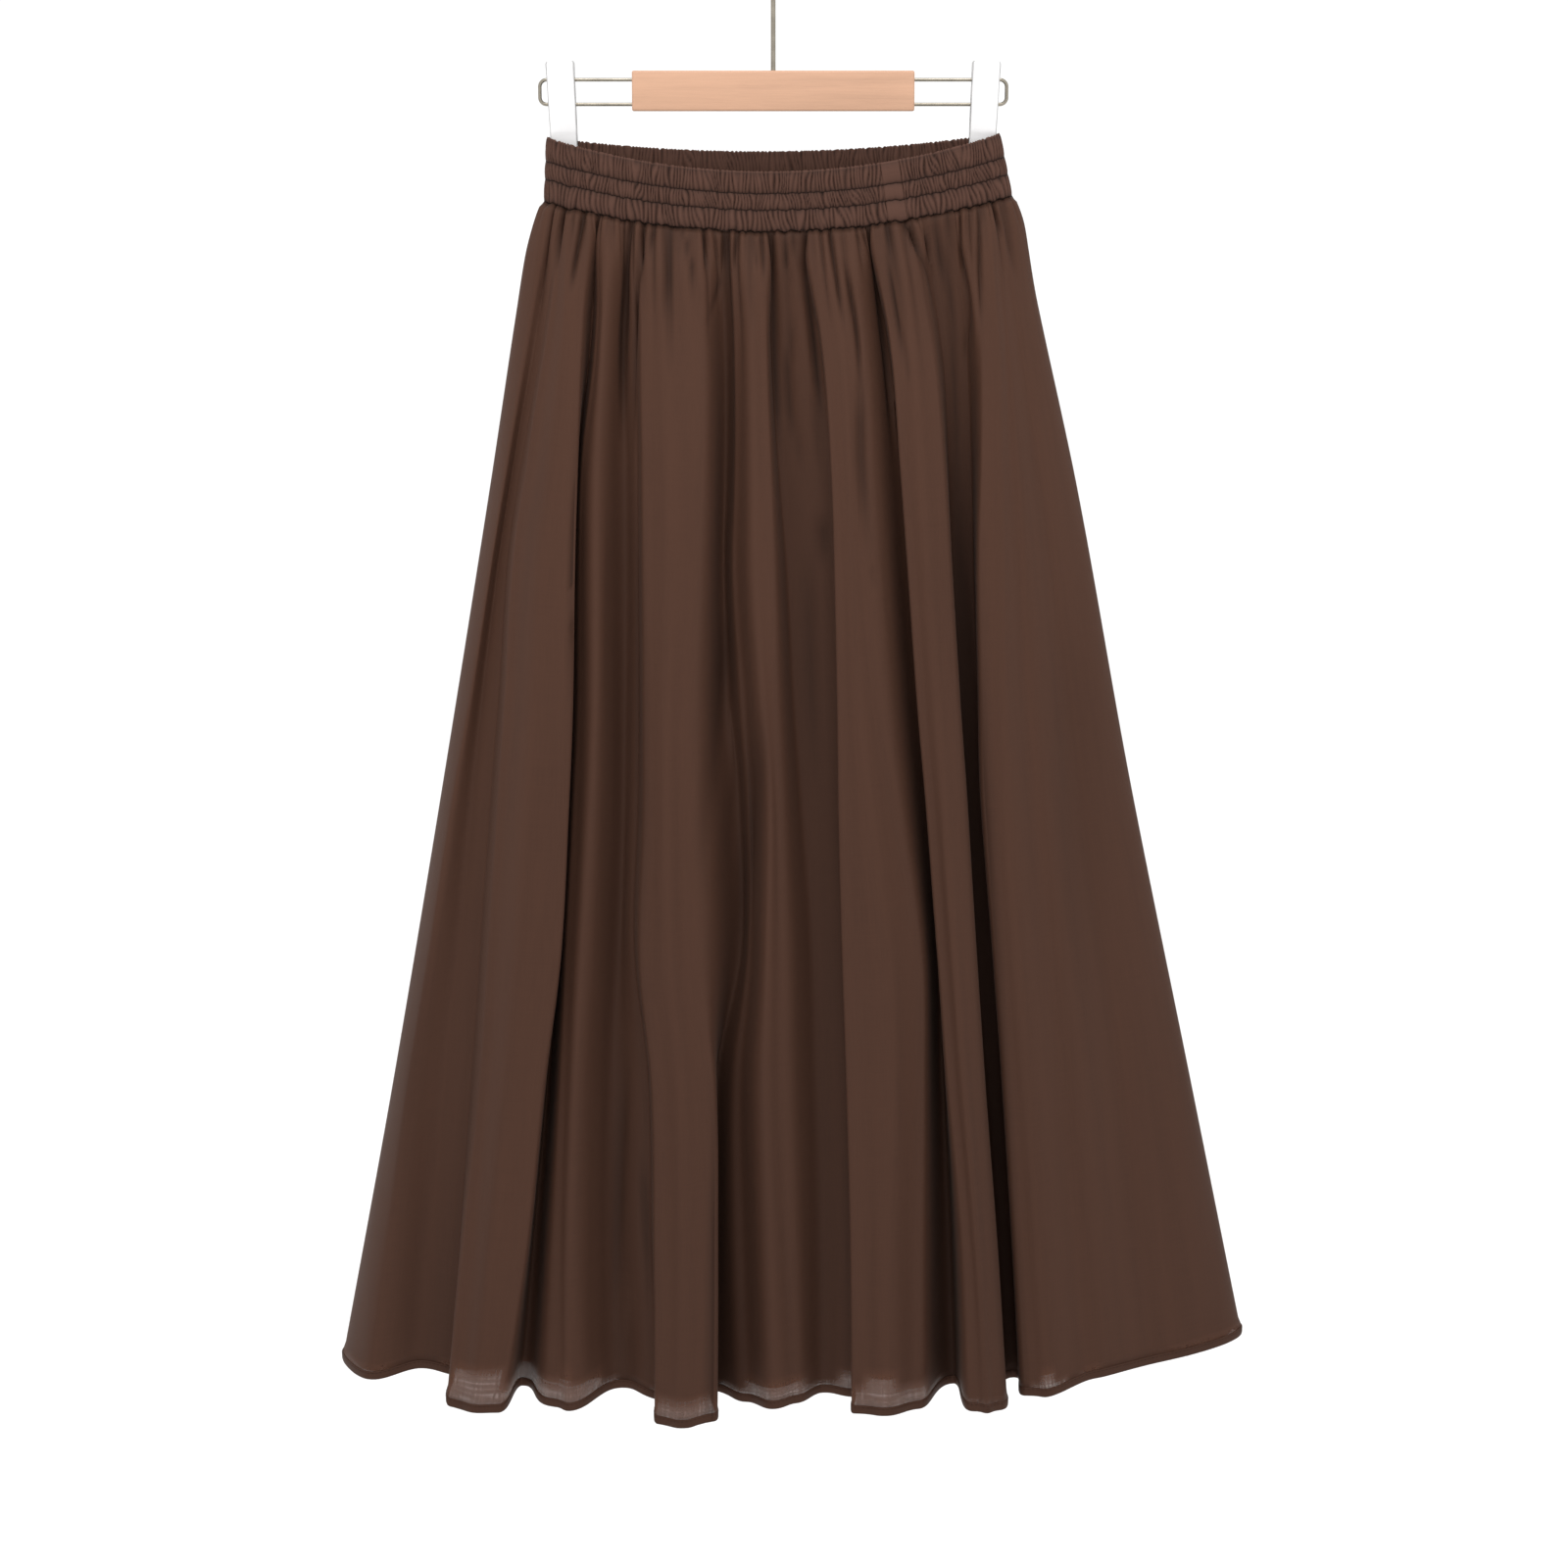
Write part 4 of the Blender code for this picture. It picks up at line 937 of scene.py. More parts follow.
def floor_material(name, colour):
    nodes = Nodes(name)
    cloud = nodes.noise(nodes.own_place(1.0, 1.0, 1.0))
    return nodes.finish(nodes.ramp(cloud, colour, (0.3, 0.995), (0.7, 1.0)), 0.9, Specular_IOR_Level=0.0)


def cloth():
    return bpy.context.scene.skirt_cloth


def cloth_material(name):
    """The cloth's material of this name, made when it is first asked for."""
    voile = tuple(cloth().voile_colour)
    make = {
        "brown_voile_lined": lambda: voile_material(name, voile),
        "brown_voile_sheer": lambda: voile_material(name, voile, cloth().cover),
        "brown_voile_double": lambda: voile_material(name, scaled(voile, 0.70)),
        "brown_voile_band": lambda: voile_material(name, tuple(cloth().band_colour), darkest_shade=0.24),
        "brown_lining_cloth": lambda: lining_material(name, tuple(cloth().lining_colour)),
        "brown_thread": lambda: thread_material(name, tuple(cloth().thread_colour)),
    }
    return bpy.data.materials.get(name) or make[name]()


# ---------------------------------------------------------------- cloth pieces

def row_places(count):
    """t of every row: close together under the seam, wider below."""
    return [mix(i / count, (i / count) ** 2, 0.55) for i in range(count + 1)]


def outer_panel(back):
    if back:
        return Panel(BACK_FOLDS, BACK_STATIONS, BACK_CREASES, True, BACK_SPACING, FRONT_CORNERS)
    return Panel(FRONT_FOLDS, STATIONS, FRONT_CREASES, False, FRONT_SPACING, FRONT_CORNERS)


def height_at(points):
    """Height of a row of points at any x."""
    ordered = sorted((point.x, point.z) for point in points)

    def height(x):
        index = max([i for i in range(len(ordered) - 1) if ordered[i][0] <= x] or [0])
        (x_a, z_a), (x_b, z_b) = ordered[index], ordered[index + 1]
        return mix(z_a, z_b, min(1.0, max(0.0, (x - x_a) / max(1e-9, x_b - x_a))))
    return height


def build_outer(panel, lining, side):
    """Outer panel of sheer cloth, which runs down into its turned hem."""
    settings = cloth()
    into_hem = settings.hem_height - HEM_BITE
    places = [t for t in row_places(ROWS_DOWN) if t < 1.0 - 1.6 * into_hem / CLOTH_LENGTH]
    surfaces = [panel.surface(t, tucked=panel.back) for t in places] + [panel.surface(1.0, lift=into_hem)]
    lining_hem = height_at(lining.row(1.0))
    unlined = []
    for t, (points, deep) in zip(places + [1.0], surfaces):
        marks = []
        for i, point in enumerate(points):
            beside = (1.0 - ease(min(i, panel.columns - i) / SHEER_COLUMNS)) * ease(t / 0.1)
            low = 0.0
            if t > SHEER_FROM:
                low = ease((lining_hem(point.x) + SEEN_ABOVE_LINING - point.z) / SEEN_RAMP)
            marks.append(max(low, beside))
        unlined.append(marks)
    # deep holds the painted shade of every point
    mesh = grid_mesh([points for points, deep in surfaces],
                     {"painted_shade": [deep for points, deep in surfaces], "unlined": unlined})
    return finish_piece(f"skirt_{side}_cloth", mesh, cloth_material("brown_voile_lined"), "brown_voile",
                        f"skirt_{side}", wall=settings.voile_thickness,
                        second=cloth_material("brown_voile_sheer"))


def hem_profile(height, thick):
    """Cross-section of the turned hem: out of the skirt, and up from its lower edge."""
    half = 0.5 * thick
    return ((-0.3 * half, height), (half * 0.5, height * 0.99), (half * 0.92, height * 0.86),
            (half, height * 0.55), (half * 0.96, height * 0.2), (half * 0.6, height * 0.04),
            (0.0, 0.0), (-half * 0.6, height * 0.04), (-half * 0.96, height * 0.2),
            (-half, height * 0.55), (-half * 0.92, height * 0.86), (-half * 0.6, height * 0.98))


def closed_strip(sections, marks=None):
    """Closed tube through sections of points, capped at both ends; marks as for grid_mesh."""
    def rows_of(lists):
        return [list(row) for row in zip(*[one + one[:1] for one in lists])]

    marks = {name: rows_of(values) for name, values in (marks or {}).items()}
    mesh = grid_mesh(rows_of(sections), marks)
    bmesh.ops.remove_doubles(mesh, verts=mesh.verts, dist=1e-6)
    ends = [edge for edge in mesh.edges if edge.is_boundary]
    bmesh.ops.holes_fill(mesh, edges=ends, sides=0)
    bmesh.ops.recalc_face_normals(mesh, faces=mesh.faces)
    return mesh


def build_hem(panel, side):
    settings = cloth()
    middle = panel.row(1.0)
    flat = [Vector((p.x, p.y)) for p in middle]
    sections = []
    for i, point in enumerate(middle):
        normal = outward(flat, i)
        wobble = 0.25 * MM * noise.noise(Vector((i * 0.12, 2.0 if panel.back else 0.0, 0.5)))
        sections.append([Vector((point.x + normal.x * out, point.y + normal.y * out,
                                 point.z + up + wobble * (1.0 - up / settings.hem_height)))
                         for out, up in hem_profile(settings.hem_height, settings.hem_thickness)])
    return finish_piece(f"hem_{side}_turned", closed_strip(sections), cloth_material("brown_voile_double"),
                        "brown_voile", f"hem_{side}")


def stitch_row(mesh, points, normals, length, gap, radius):
    """Stitches laid along points: short rounded bars, sunk a little into the cloth."""
    since = 0.0
    for a, b, normal in zip(points, points[1:], normals):
        since += (b - a).length
        if since < length + gap:
            continue
        since = 0.0
        along = (b - a).normalized()
        up = normal.cross(along).normalized()
        turn = Matrix((along, normal, up)).transposed().to_4x4()
        size = Matrix.Diagonal((0.5 * length, radius, radius, 1.0))
        bmesh.ops.create_icosphere(mesh, subdivisions=1, radius=1.0,
                                   matrix=Matrix.Translation(a) @ turn @ size)


def resampled(points, spacing):
    """Points at an even spacing along a polyline."""
    result = [points[0].copy()]
    left = spacing
    for a, b in zip(points, points[1:]):
        length = (b - a).length
        while left <= length and length > 0.0:
            result.append(a.lerp(b, left / length))
            left += spacing
        left -= length
    return result


def level_normals(points):
    normals = []
    for i in range(len(points)):
        run = points[min(i + 1, len(points) - 1)] - points[max(i - 1, 0)]
        normals.append(Vector((run.y, -run.x, 0.0)).normalized())
    return normals


def build_hem_stitches(panels):
    settings = cloth()
    mesh = bmesh.new()
    for panel in panels:
        row = panel.row(1.0, lift=0.80 * settings.hem_height, off=0.5 * settings.hem_thickness)
        points = resampled(row, 0.6 * MM)
        stitch_row(mesh, points, level_normals(points), 2.0 * MM, 0.9 * MM, 0.16 * MM)
    return finish_piece("hem_stitches", mesh, cloth_material("brown_thread"), "brown_voile")


# ---------------------------------------------------------------- lining

def lining_folds(folds, crests):
    """The lining's crests behind the named folds, with shallow dips between them."""
    chosen = []
    for fold in folds:
        if fold.name in crests:
            crest, drop = crests[fold.name]
            relief = tuple(crest * share for share in LINING_SHARE)
            chosen.append(Fold(fold.name, fold.x, relief, LINING_TURN, drop))
    rows = chosen[:1]
    for before, after in zip(chosen, chosen[1:]):
        between = tuple(0.5 * (a + b) for a, b in zip(before.x, after.x))
        drop = 0.5 * (before.drop + after.drop) + LINING_DIP_LOWER
        rows += [Fold("dip", between, (0, 0, 0, 0, 0), (1, 1, 1, 1, 1), drop), after]
    return tuple(rows)


def lining_panel(back):
    folds = (lining_folds(BACK_FOLDS, LINING_BACK_CRESTS) if back
             else lining_folds(FRONT_FOLDS, LINING_FRONT_CRESTS))
    inset = (LINING_INSET, LINING_SIDE_CLEAR, LINING_DEPTH_CLEAR)
    stations = BACK_STATIONS if back else STATIONS
    return Panel(folds, stations, (), back, LINING_SPACING, LINING_CORNERS, inset)


def build_lining(panel, side):
    rows = [panel.row(0.0, lift=LINING_INTO_BAND)] + [panel.row(t) for t in row_places(LINING_ROWS)]
    return finish_piece(f"lining_{side}_cloth", grid_mesh(rows), cloth_material("brown_lining_cloth"),
                        "brown_lining", f"lining_{side}", wall=cloth().lining_thickness)


# ---------------------------------------------------------------- waistband

def band_middle(q, share, back):
    """Middle of the waistband's wall at q across it and share down it."""
    left = mix(BAND_LEFT[0], BAND_LEFT[1], share) * MM
    right = mix(BAND_RIGHT[0], BAND_RIGHT[1], share) * MM
    x = mix(left, right, 0.5 + 0.5 * q)
    y = waist_back(q) if back else WAIST_SIDE_Y - WAIST_FRONT * oval(q)
    top = seam_height(x, WAIST_TOP, BACK_SAG if back else FRONT_TOP_SAG, left, right)
    return Vector((x, y, mix(top, gathered_seam(x, back), share)))


def pucker(run, share, pitch):
    """Shirring at a distance run round the waist: 0 in its creases, 1 on its crests."""
    channel = 0 if share < STITCH_LINES[0] else 1 if share < STITCH_LINES[1] else 2
    edges = (0.0,) + STITCH_LINES + (1.0,)
    inside = (share - edges[channel]) / (edges[channel + 1] - edges[channel])
    size = pitch * (1.0, 0.9, 1.2)[channel]
    lean = 2.2 * size * noise.noise(Vector((run / (9.0 * size), channel * 5.0, 0.4)))
    slide = 1.3 * size * noise.noise(Vector((run / (2.6 * size), channel * 7.0 + 0.8 * inside, 2.4)))
    phase = math.pi * (run + slide + (inside - 0.5) * lean) / size
    crest = abs(math.sin(phase)) ** 0.62
    strength = 0.95 + 0.7 * noise.noise(Vector((run / (1.6 * size), channel * 3.0, 8.0 + inside)))
    return 1.0 - min(1.2, strength) * (1.0 - crest)


def band_profile():
    """Places down one skin of the waistband: (share down, how far it bulges there)."""
    edges = (0.0,) + STITCH_LINES + (1.0,)
    places = []
    for top, bottom in zip(edges, edges[1:]):
        for inside in BAND_BULGES:
            places.append((mix(top, bottom, inside), math.sin(math.pi * inside) ** 0.4))
    places.append((1.0, 0.0))
    return places


def band_sections(places, pitch, depth, plain=False):
    """Closed cross-sections of the waistband at places round the waist, and the painted shade of every point.
    """
    rows = [[band_middle(q, share, back) for q, back in places] for share, bulge in band_profile()]
    flats = [[Vector((p.x, p.y)) for p in row] for row in rows]
    runs = [0.0]
    for a, b in zip(flats[0], flats[0][1:]):
        runs.append(runs[-1] + (b - a).length)
    sections, band_shades = [], []
    for i, run in enumerate(runs):
        front, back, front_shade, back_shade = [], [], [], []
        for (share, bulge), row, flat in zip(band_profile(), rows, flats):
            last = len(flat) - 1
            tangent = (flat[min(i + 1, last)] - flat[max(i - 1, 0)]).normalized()
            normal = Vector((tangent.y, -tangent.x, 0.0))
            side_fade = mix(0.35, 1.0, abs(normal.y))
            crest = PLAIN_CREST if plain else pucker(run, share, pitch)
            crest_inside = PLAIN_CREST if plain else pucker(run + 0.5 * pitch, share, pitch)
            out = 1.9 * bulge * side_fade * MM
            out -= depth * (1.0 - crest) * mix(0.15, 1.0, bulge) * side_fade
            into = mix(0.9, 1.6, bulge) * MM - depth * (1.0 - crest_inside) * mix(0.1, 0.8, bulge)
            lift = 0.0
            if share == 0.0:
                lift = 1.2 * MM * (pucker(run, 0.02, pitch) - 0.7) * (0.2 if plain else 1.0)
            front.append(row[i] + normal * out + Vector((0.0, 0.0, lift)))
            back.append(row[i] - normal * into + Vector((0.0, 0.0, lift)))
            # painted shade: darker in the stitch grooves and in the puckers' creases, on both skins
            groove_shade = (1.0 - bulge) ** 1.5 if share else 0.0
            front_shade.append(min(1.0, groove_shade + 0.95 * (1.0 - crest)))
            back_shade.append(min(1.0, 0.6 * groove_shade + 0.8 * (1.0 - crest_inside)))
        top = row_top(rows[0][i], front[0], back[0])
        sections.append(back[::-1] + top + front)
        band_shades.append(back_shade[::-1] + [0.5 * front_shade[0]] * 3 + front_shade)
    return sections, band_shades


def row_top(middle, front, back):
    """Rounded upper edge between the two skins."""
    rise = Vector((0.0, 0.0, 0.45 * MM))
    return [back.lerp(front, 0.25) + rise, back.lerp(front, 0.5) + rise * 1.3, back.lerp(front, 0.75) + rise]


def waist_places(start, end, step, back):
    """Places from start to end across the waist, an even step apart along the cloth."""
    places = [(start, back)]
    last = band_middle(start, 0.5, back)
    fine = 4000
    for i in range(1, fine):
        q = mix(start, end, ease(i / fine) if abs(end - start) > 1.5 else i / fine)
        here = band_middle(q, 0.5, back)
        if math.hypot(here.x - last.x, here.y - last.y) >= step:
            places.append((q, back))
            last = here
    places.append((end, back))
    return places


def join_edges():
    left, right = BAND_LEFT[0] * MM, BAND_RIGHT[0] * MM
    return tuple(2.0 * (JOIN_X + side * JOIN_WIDTH - left) / (right - left) - 1.0 for side in (-0.5, 0.5))


def waistband_places():
    """All places round the waist, from the join over the back to the join again."""
    join_left, join_right = join_edges()
    gap = 2.0 * JOIN_GAP / ((BAND_RIGHT[0] - BAND_LEFT[0]) * MM)
    places = waist_places(join_right + gap, 1.0, BAND_FRONT_STEP, False)
    places += waist_places(1.0, -1.0, BAND_BACK_STEP, True)[1:]
    places += waist_places(-1.0, join_left - gap, BAND_FRONT_STEP, False)[1:]
    return places


def join_places():
    join_left, join_right = join_edges()
    return [(mix(join_left, join_right, i / JOIN_STEPS), False) for i in range(JOIN_STEPS + 1)]


def build_band(name, places, node, plain=False):
    """One length of the waistband, through places round the waist."""
    settings = bpy.context.scene.skirt_band
    sections, band_shades = band_sections(places, settings.pucker_pitch, settings.pucker_depth, plain)
    mesh = closed_strip(sections, {"painted_shade": band_shades})
    return finish_piece(name, mesh, cloth_material("brown_voile_band"), "brown_voile", node)


def build_band_stitches():
    settings = bpy.context.scene.skirt_band
    mesh = bmesh.new()
    rounds = waistband_places() + join_places()[1:]
    for share in STITCH_LINES:
        for skin in (1.0, -1.0):
            points = [band_middle(q, share, back) for q, back in rounds]
            off = 0.05 if skin > 0.0 else -0.95
            moved = [p + n * off * MM for p, n in zip(points, level_normals(points))]
            even = resampled(moved, 0.5 * MM)
            facing = [n * skin for n in level_normals(even)]
            stitch_row(mesh, even, facing, settings.stitch_length * 0.7, 0.4 * MM, 0.34 * MM)
    return finish_piece("waistband_stitches", mesh, cloth_material("brown_thread"), "brown_voile")


# ---------------------------------------------------------------- hanger

def arc_points(centre, radius, start, end, steps):
    angles = [math.radians(mix(start, end, i / steps)) for i in range(steps + 1)]
    return [centre + Vector((math.cos(a), 0.0, math.sin(a))) * radius for a in angles]


def ring(point, across, up, radius, sides):
    """Circle of points in the plane of two unit vectors."""
    return [point + (across * math.cos(a) + up * math.sin(a)) * radius
            for a in (2.0 * math.pi * k / sides for k in range(sides))]


def round_wire(name, points, radius, material, node, sides=20):
    """Wire swept along points that lie in the plane of the hanger."""
    sections = []
    for i, point in enumerate(points):
        along = (points[min(i + 1, len(points) - 1)] - points[max(i - 1, 0)]).normalized()
        across = Vector((along.z, 0.0, -along.x))
        sections.append(ring(point, across, Vector((0.0, 1.0, 0.0)), radius, sides))
    return finish_piece(name, closed_strip(sections), material, "bright_steel", node)


def straight(a, b, steps):
    return [a.lerp(b, i / steps) for i in range(steps)]


def hook_points():
    crown = Vector((0.0, 0.0, HOOK_RADIUS - HOOK_BEND))
    reach = math.sqrt(HOOK_BEND ** 2 + 2.0 * HOOK_BEND * NECK_BEND)
    neck = Vector((NECK_BEND, 0.0, crown.z - reach))
    meet = math.degrees(math.atan2(reach, -NECK_BEND))
    bend = arc_points(neck, NECK_BEND, 180.0, meet, 14)
    points = straight(Vector((0.0, 0.0, BAR_TOP - HOOK_SEAT)), bend[0], 6) + bend
    return points + arc_points(crown, HOOK_BEND, meet - 180.0, HOOK_TIP_ANGLE, 64)[1:]


def rail_points(side):
    upper, lower = RAIL_HEIGHTS
    root = side * (0.5 * BAR_SIZE.x - RAIL_SEAT)
    turn = side * (RAIL_END - RAIL_CORNER)
    outside = 0.0 if side > 0 else 180.0
    top = arc_points(Vector((turn, 0.0, upper - RAIL_CORNER)), RAIL_CORNER, 90.0, outside, 12)
    foot = arc_points(Vector((turn, 0.0, lower + RAIL_CORNER)), RAIL_CORNER, outside,
                      270.0 if side < 0 else -90.0, 12)
    points = straight(Vector((root, 0.0, upper)), top[0], 8) + top + foot
    return points + straight(foot[-1], Vector((root, 0.0, lower)), 8)[1:] + [Vector((root, 0.0, lower))]


def build_bar(material):
    """Wooden bar with rounded edges, bored for every wire that enters it."""
    centre = Vector((0.0, 0.0, BAR_TOP - 0.5 * BAR_SIZE.z))
    mesh = bmesh.new()
    bmesh.ops.create_cube(mesh, size=1.0, matrix=Matrix.Translation(centre) @ Matrix.Diagonal(
        (BAR_SIZE.x, BAR_SIZE.y, BAR_SIZE.z, 1.0)))
    bmesh.ops.bevel(mesh, geom=mesh.edges[:], offset=BAR_EDGE, segments=4, affect="EDGES",
                    profile=0.5, material=-1)
    bar = finish_piece("hanger_bar_wood", mesh, material, "pale_wood", "hanger_bar")
    bar.data.set_sharp_from_angle(angle=math.radians(40.0))
    for name, place, radius, depth, turn in bar_bores():
        cutter_mesh = bmesh.new()
        bmesh.ops.create_cone(cutter_mesh, cap_ends=True, segments=32, radius1=radius, radius2=radius,
                              depth=depth, matrix=Matrix.Translation(place) @ turn)
        cut(bar, name, cutter_mesh)
    return bar


def bar_bores():
    """Name, place, radius, depth and turn of every bore in the bar."""
    sideways = Matrix.Rotation(math.radians(90.0), 4, "Y")
    bores = [("hook_bore", Vector((0.0, 0.0, BAR_TOP)), HOOK_RADIUS + SEAM_GAP,
              2.0 * (HOOK_SEAT + SEAM_GAP), Matrix.Identity(4))]
    for side in (-1, 1):
        for height in RAIL_HEIGHTS:
            place = Vector((side * 0.5 * BAR_SIZE.x, 0.0, height))
            bores.append(("rail_bore", place, RAIL_RADIUS + SEAM_GAP,
                          2.0 * (RAIL_SEAT + SEAM_GAP), sideways))
    return bores


def cut(piece, name, cutter_mesh):
    """Takes the cutter out of the piece's mesh at once."""
    cutter = mesh_object(name, cutter_mesh)
    boolean = piece.modifiers.new(name, "BOOLEAN")
    boolean.operation = "DIFFERENCE"
    boolean.object = cutter
    bpy.context.view_layer.update()
    depsgraph = bpy.context.evaluated_depsgraph_get()
    finished = bpy.data.meshes.new_from_object(piece.evaluated_get(depsgraph))
    piece.modifiers.remove(boolean)
    old = piece.data
    piece.data = finished
    bpy.data.meshes.remove(old)
    bpy.data.objects.remove(cutter)


def jaw_face(facing):
    """One jaw about the clip's own middle, its foot at z = 0; facing -1 is the front."""
    height = CLIP_TOP - CLIP_FOOT
    heights = [row.height for row in JAW]
    grip_from, grip_to, grip_pitch, grip_height = GRIP
    sections = []
    for step in range(JAW_STEPS + 1):
        up = mix(0.0, heights[-1], step / JAW_STEPS)
        index = max(i for i in range(len(JAW) - 1) if heights[i] <= up)
        share = (up - heights[index]) / (heights[index + 1] - heights[index])
        inner = mix(JAW[index].inner, JAW[index + 1].inner, ease(share))
        outer = mix(JAW[index].outer, JAW[index + 1].outer, ease(share))
        width = 0.5 * mix(CLIP_FOOT_WIDTH, CLIP_TOP_WIDTH, up * MM / height)
        corner = min(up, heights[-1] - up)
        tuck = JAW_CORNER * max(0.0, 1.0 - corner / JAW_CORNER) ** 2
        width -= tuck * 0.5 * MM
        outer -= 0.22 * max(0.0, 1.0 - corner / 1.0)
        if grip_from < up < grip_to:
            outer += grip_height * max(0.0, math.sin(up * math.pi / grip_pitch))
        sections.append(jaw_ring(width, facing * inner * MM, facing * outer * MM, up * MM))
    # painted shade marks on the points at the jaw's side edges
    edge_shade_marks = [[float(abs(point.x) > 0.93 * max(p.x for p in row)) for point in row] for row in sections]
    return closed_strip(sections, {"painted_edge_shade": edge_shade_marks})


def jaw_ring(width, inner, outer, up):
    """Rounded rectangle round the jaw at one height."""
    edge = JAW_EDGE
    step = math.copysign(edge, outer - inner)
    return [Vector((x, y, up)) for x, y in (
        (-width + edge, outer), (-width + 2.0 * edge, outer), (0.0, outer),
        (width - 2.0 * edge, outer), (width - edge, outer), (width - 0.3 * edge, outer - 0.3 * step),
        (width, outer - step), (width, inner + step * 0.5), (width - 0.5 * edge, inner), (0.0, inner),
        (-width + 0.5 * edge, inner), (-width, inner + step * 0.5), (-width, outer - step),
        (-width + 0.3 * edge, outer - 0.3 * step))]


def build_clip(side, name, plastic, steel):
    """Two jaws closed on the back waistband, their pivot lugs and the coil spring."""
    lean = Matrix.Rotation(math.radians(side * CLIP_LEAN), 4, "Y")
    pivot = Vector((side * CLIP_X, 0.0, RAIL_HEIGHTS[1]))
    foot = Matrix.Translation((0.0, 0.0, CLIP_FOOT - RAIL_HEIGHTS[1]))
    place = Matrix.Translation(pivot) @ lean @ foot
    for facing, jaw in ((-1, "front"), (1, "back")):
        mesh = jaw_face(facing)
        boss = Matrix.Translation((0.0, facing * BOSS_OUT, BOSS_UP))
        boss = boss @ Matrix.Rotation(math.radians(90.0), 4, "X")
        bmesh.ops.create_cone(mesh, cap_ends=True, segments=28, radius1=BOSS_RADIUS, radius2=BOSS_RADIUS,
                              depth=BOSS_HEIGHT, matrix=boss)
        bmesh.ops.transform(mesh, matrix=place, verts=mesh.verts)
        piece = finish_piece(f"clip_{name}_{jaw}_moulded", mesh, plastic, "white_plastic",
                             f"clip_{name}_{jaw}")
        piece.data.set_sharp_from_angle(angle=math.radians(50.0))
    return build_spring(side, name, steel)


def build_spring(side, name, steel):
    """Coil of wire resting on the lower rail between the jaws."""
    rest = RAIL_HEIGHTS[1] + RAIL_RADIUS + SEAM_GAP + SPRING_RADIUS
    sections = []
    for i in range(SPRING_STEPS + 1):
        angle = 2.0 * math.pi * SPRING_TURNS * i / SPRING_STEPS
        x = side * CLIP_X + mix(-0.5, 0.5, i / SPRING_STEPS) * (SPRING_LENGTH - 2.0 * SPRING_WIRE)
        spoke = Vector((0.0, math.cos(angle), math.sin(angle)))
        point = Vector((x, 0.0, rest)) + spoke * (SPRING_RADIUS - SPRING_WIRE)
        sections.append(ring(point, spoke, Vector((1.0, 0.0, 0.0)), SPRING_WIRE, 8))
    return finish_piece(f"clip_{name}_spring_coil", closed_strip(sections), steel, "bright_steel",
                        f"clip_{name}_spring")


# ---------------------------------------------------------------- operators

class SKIRT_OT_stage(bpy.types.Operator):
    """Camera at the photograph's angle, a pale floor, white surroundings and soft lights"""

    bl_idname = "skirt.stage"
    bl_label = "Stage"

    def execute(self, context):
        settings = context.scene.skirt_stage
        data = bpy.data.cameras.new("photograph_camera")
        data.lens = settings.lens
        data.sensor_width = 36.0
        camera = new_object("photograph_camera", data)
        camera.location = CAMERA_PLACE
        camera.rotation_euler = (math.radians(90.0 - CAMERA_PITCH), 0.0, 0.0)
        context.scene.camera = camera
        mesh = bmesh.new()
        floor = CAD_BOX[0].z - FLOOR_BELOW_HEM
        bmesh.ops.create_grid(mesh, x_segments=2, y_segments=2, size=FLOOR_REACH,
                              matrix=Matrix.Translation((0.0, 0.0, floor)))
        piece = mesh_object("pale_floor", mesh)
        piece.data.materials.append(floor_material("pale_floor", (0.96, 0.96, 0.96)))
        self.surroundings(context.scene, settings.sky_strength)
        self.soft_light("key_light", (-1.3, -2.6, 1.1), 2.4, settings.key_power)
        self.soft_light("fill_light", (1.6, -2.4, 0.2), 2.2, 0.4 * settings.key_power)
        self.soft_light("top_light", (0.0, -0.9, 1.3), 1.1, 2.0 * settings.key_power)
        context.scene.view_settings.view_transform = "Standard"
        return {"FINISHED"}

    def surroundings(self, scene, strength):
        world = bpy.data.worlds.new("white_studio")
        world.use_nodes = True
        background = world.node_tree.nodes["Background"]
        background.inputs["Color"].default_value = (1.0, 1.0, 1.0, 1.0)
        background.inputs["Strength"].default_value = strength
        scene.world = world

    def soft_light(self, name, place, size, power):
        data = bpy.data.lights.new(name, "AREA")
        data.shape = "SQUARE"
        data.size = size
        data.energy = power
        light = new_object(name, data)
        light.location = place
        light.rotation_euler = (LIGHT_AIM - Vector(place)).to_track_quat("-Z", "Y").to_euler()


class SKIRT_OT_outer_cloth(bpy.types.Operator):
    """Front and back panels of sheer voile with their turned hems"""

    bl_idname = "skirt.outer_cloth"
    bl_label = "Outer cloth"

    def execute(self, context):
        front, back = outer_panel(False), outer_panel(True)
        cloth_front = build_outer(front, lining_panel(False), "front")
        cloth_back = build_outer(back, lining_panel(True), "back")
        hem_front = build_hem(front, "front")
        hem_back = build_hem(back, "back")
        build_hem_stitches((front, back))
        return {"FINISHED"}


class SKIRT_OT_lining(bpy.types.Operator):
    """Front and back panels of the lining"""

    bl_idname = "skirt.lining"
    bl_label = "Lining"

    def execute(self, context):
        front = build_lining(lining_panel(False), "front")
        back = build_lining(lining_panel(True), "back")
        return {"FINISHED"}


class SKIRT_OT_waistband(bpy.types.Operator):
    """Shirred waistband of three channels, its plain join and its stitches"""

    bl_idname = "skirt.waistband"
    bl_label = "Waistband"

    def execute(self, context):
        build_band("waistband_shirred", waistband_places(), "waistband")
        build_band("waistband_join_plain", join_places(), "waistband_join", plain=True)
        build_band_stitches()
        return {"FINISHED"}


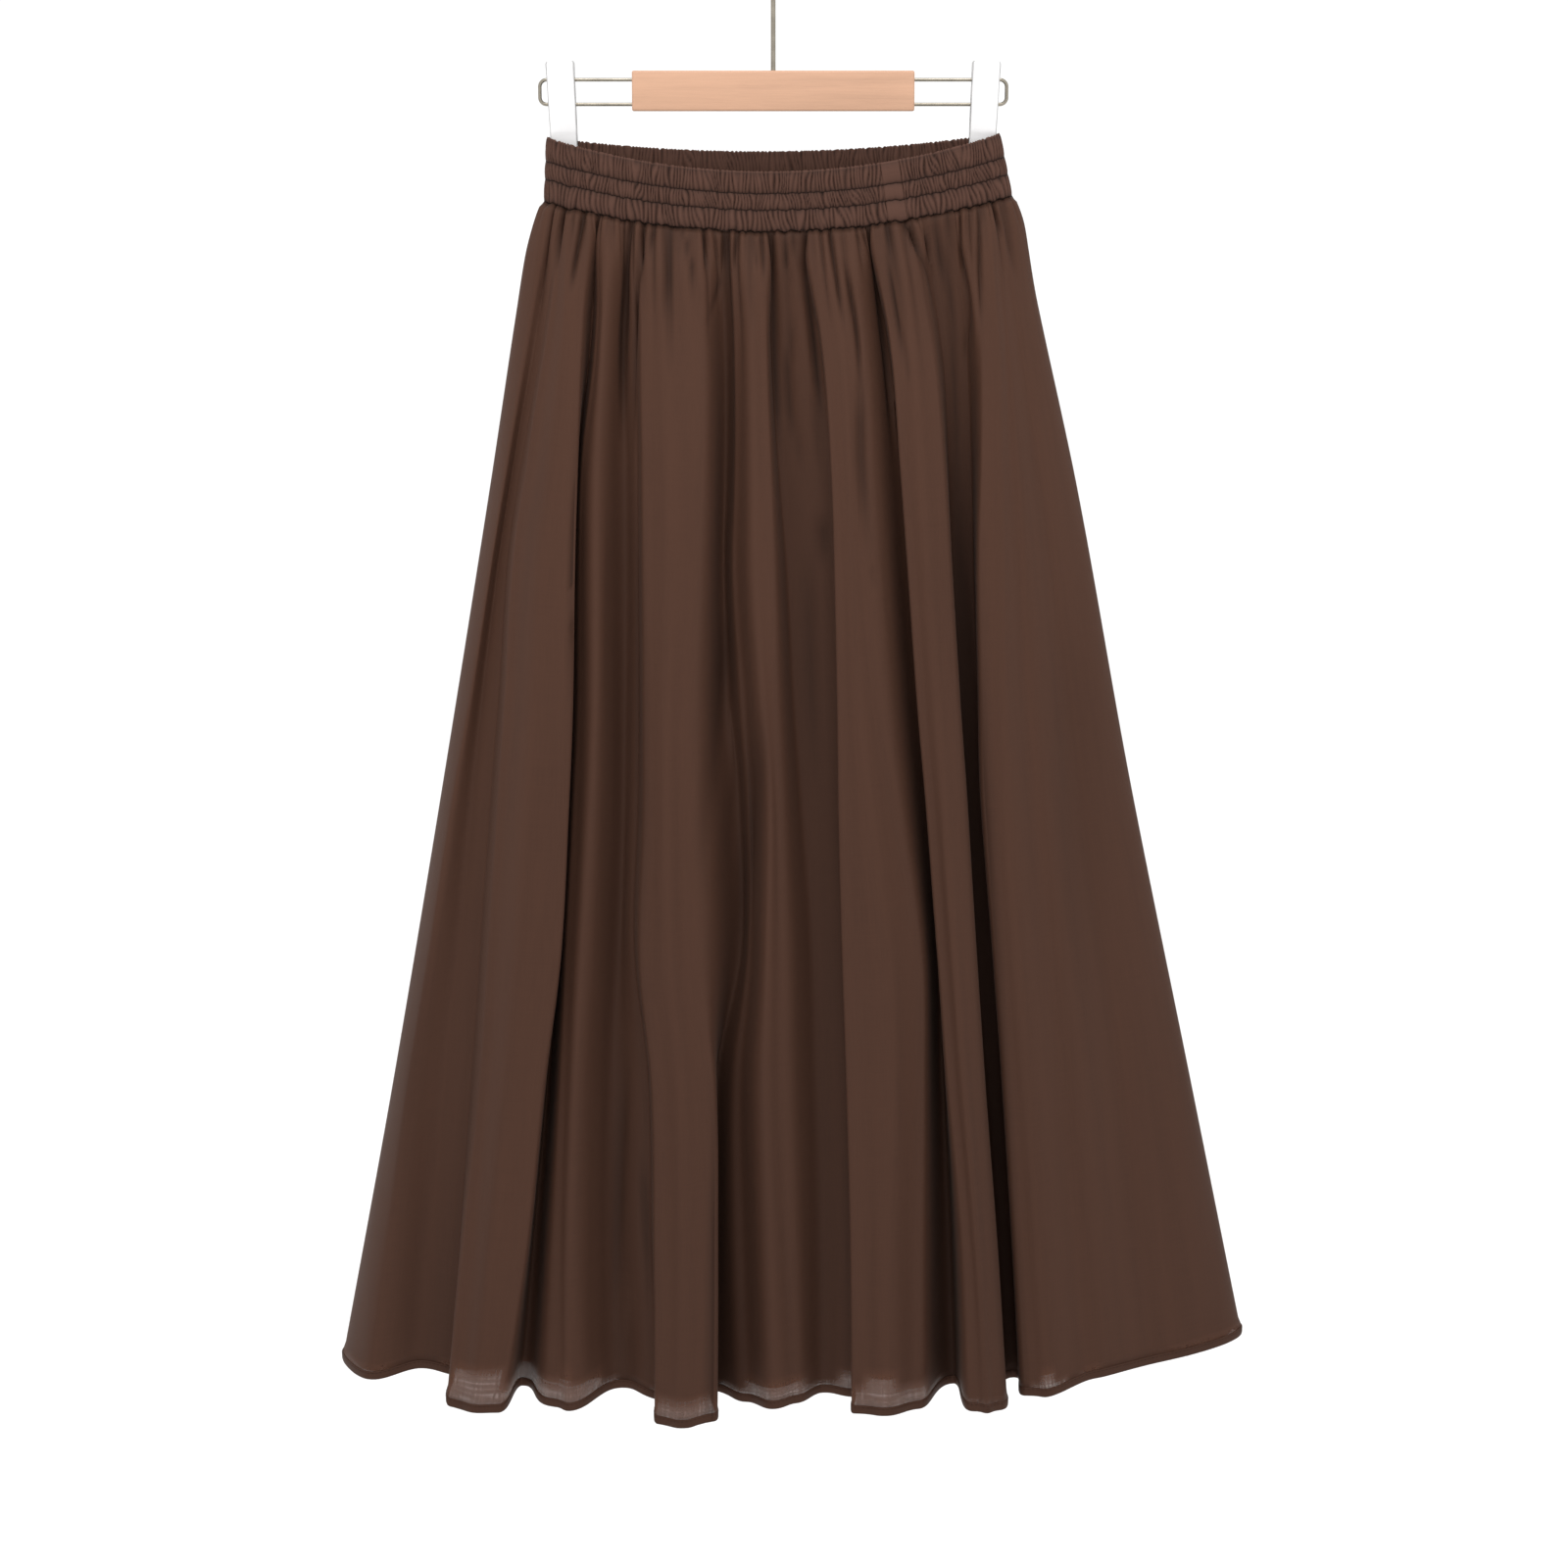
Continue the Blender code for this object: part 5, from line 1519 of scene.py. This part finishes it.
class SKIRT_OT_hanger(bpy.types.Operator):
    """Wooden bar, wire rails, hook and the two clips"""

    bl_idname = "skirt.hanger"
    bl_label = "Hanger"

    def execute(self, context):
        colours = context.scene.skirt_hanger
        wood = wood_material("pale_wood_grain", tuple(colours.wood_colour))
        steel = steel_material("bright_steel_wire", tuple(colours.steel_colour))
        plastic = plastic_material("white_plastic_moulded", tuple(colours.plastic_colour))
        build_bar(wood)
        round_wire("hook_wire", hook_points(), HOOK_RADIUS, steel, "hook", sides=24)
        for side, name in ((-1, "left"), (1, "right")):
            round_wire(f"rail_{name}_wire", rail_points(side), RAIL_RADIUS, steel, f"rail_{name}")
            build_clip(side, name, plastic, steel)
        return {"FINISHED"}


class SKIRT_PT_pieces(bpy.types.Panel):
    """Pieces of the skirt"""

    bl_idname = "SKIRT_PT_pieces"
    bl_label = "Skirt"
    bl_space_type = "VIEW_3D"
    bl_region_type = "UI"
    bl_category = "Skirt"

    def draw(self, context):
        scene = context.scene
        for group in (scene.skirt_cloth, scene.skirt_band, scene.skirt_hanger, scene.skirt_stage):
            box = self.layout.box()
            for key in group.__annotations__:
                box.prop(group, key)
        for operator in OPERATORS:
            self.layout.operator(operator.bl_idname)


SETTINGS = (
    ("skirt_cloth", SkirtClothSettings),
    ("skirt_band", SkirtBandSettings),
    ("skirt_hanger", SkirtHangerSettings),
    ("skirt_stage", SkirtStageSettings),
)
OPERATORS = (SKIRT_OT_stage, SKIRT_OT_outer_cloth, SKIRT_OT_lining, SKIRT_OT_waistband, SKIRT_OT_hanger)


def register():
    for name, group in SETTINGS:
        bpy.utils.register_class(group)
        setattr(bpy.types.Scene, name, bpy.props.PointerProperty(type=group))
    for kind in OPERATORS + (SKIRT_PT_pieces,):
        bpy.utils.register_class(kind)


def unregister():
    for kind in (SKIRT_PT_pieces,) + OPERATORS[::-1]:
        bpy.utils.unregister_class(kind)
    for name, group in SETTINGS[::-1]:
        delattr(bpy.types.Scene, name)
        bpy.utils.unregister_class(group)


def main():
    register()
    bpy.ops.skirt.stage()
    bpy.ops.skirt.outer_cloth()
    bpy.ops.skirt.lining()
    bpy.ops.skirt.waistband()
    bpy.ops.skirt.hanger()


if __name__ == "__main__":
    main()
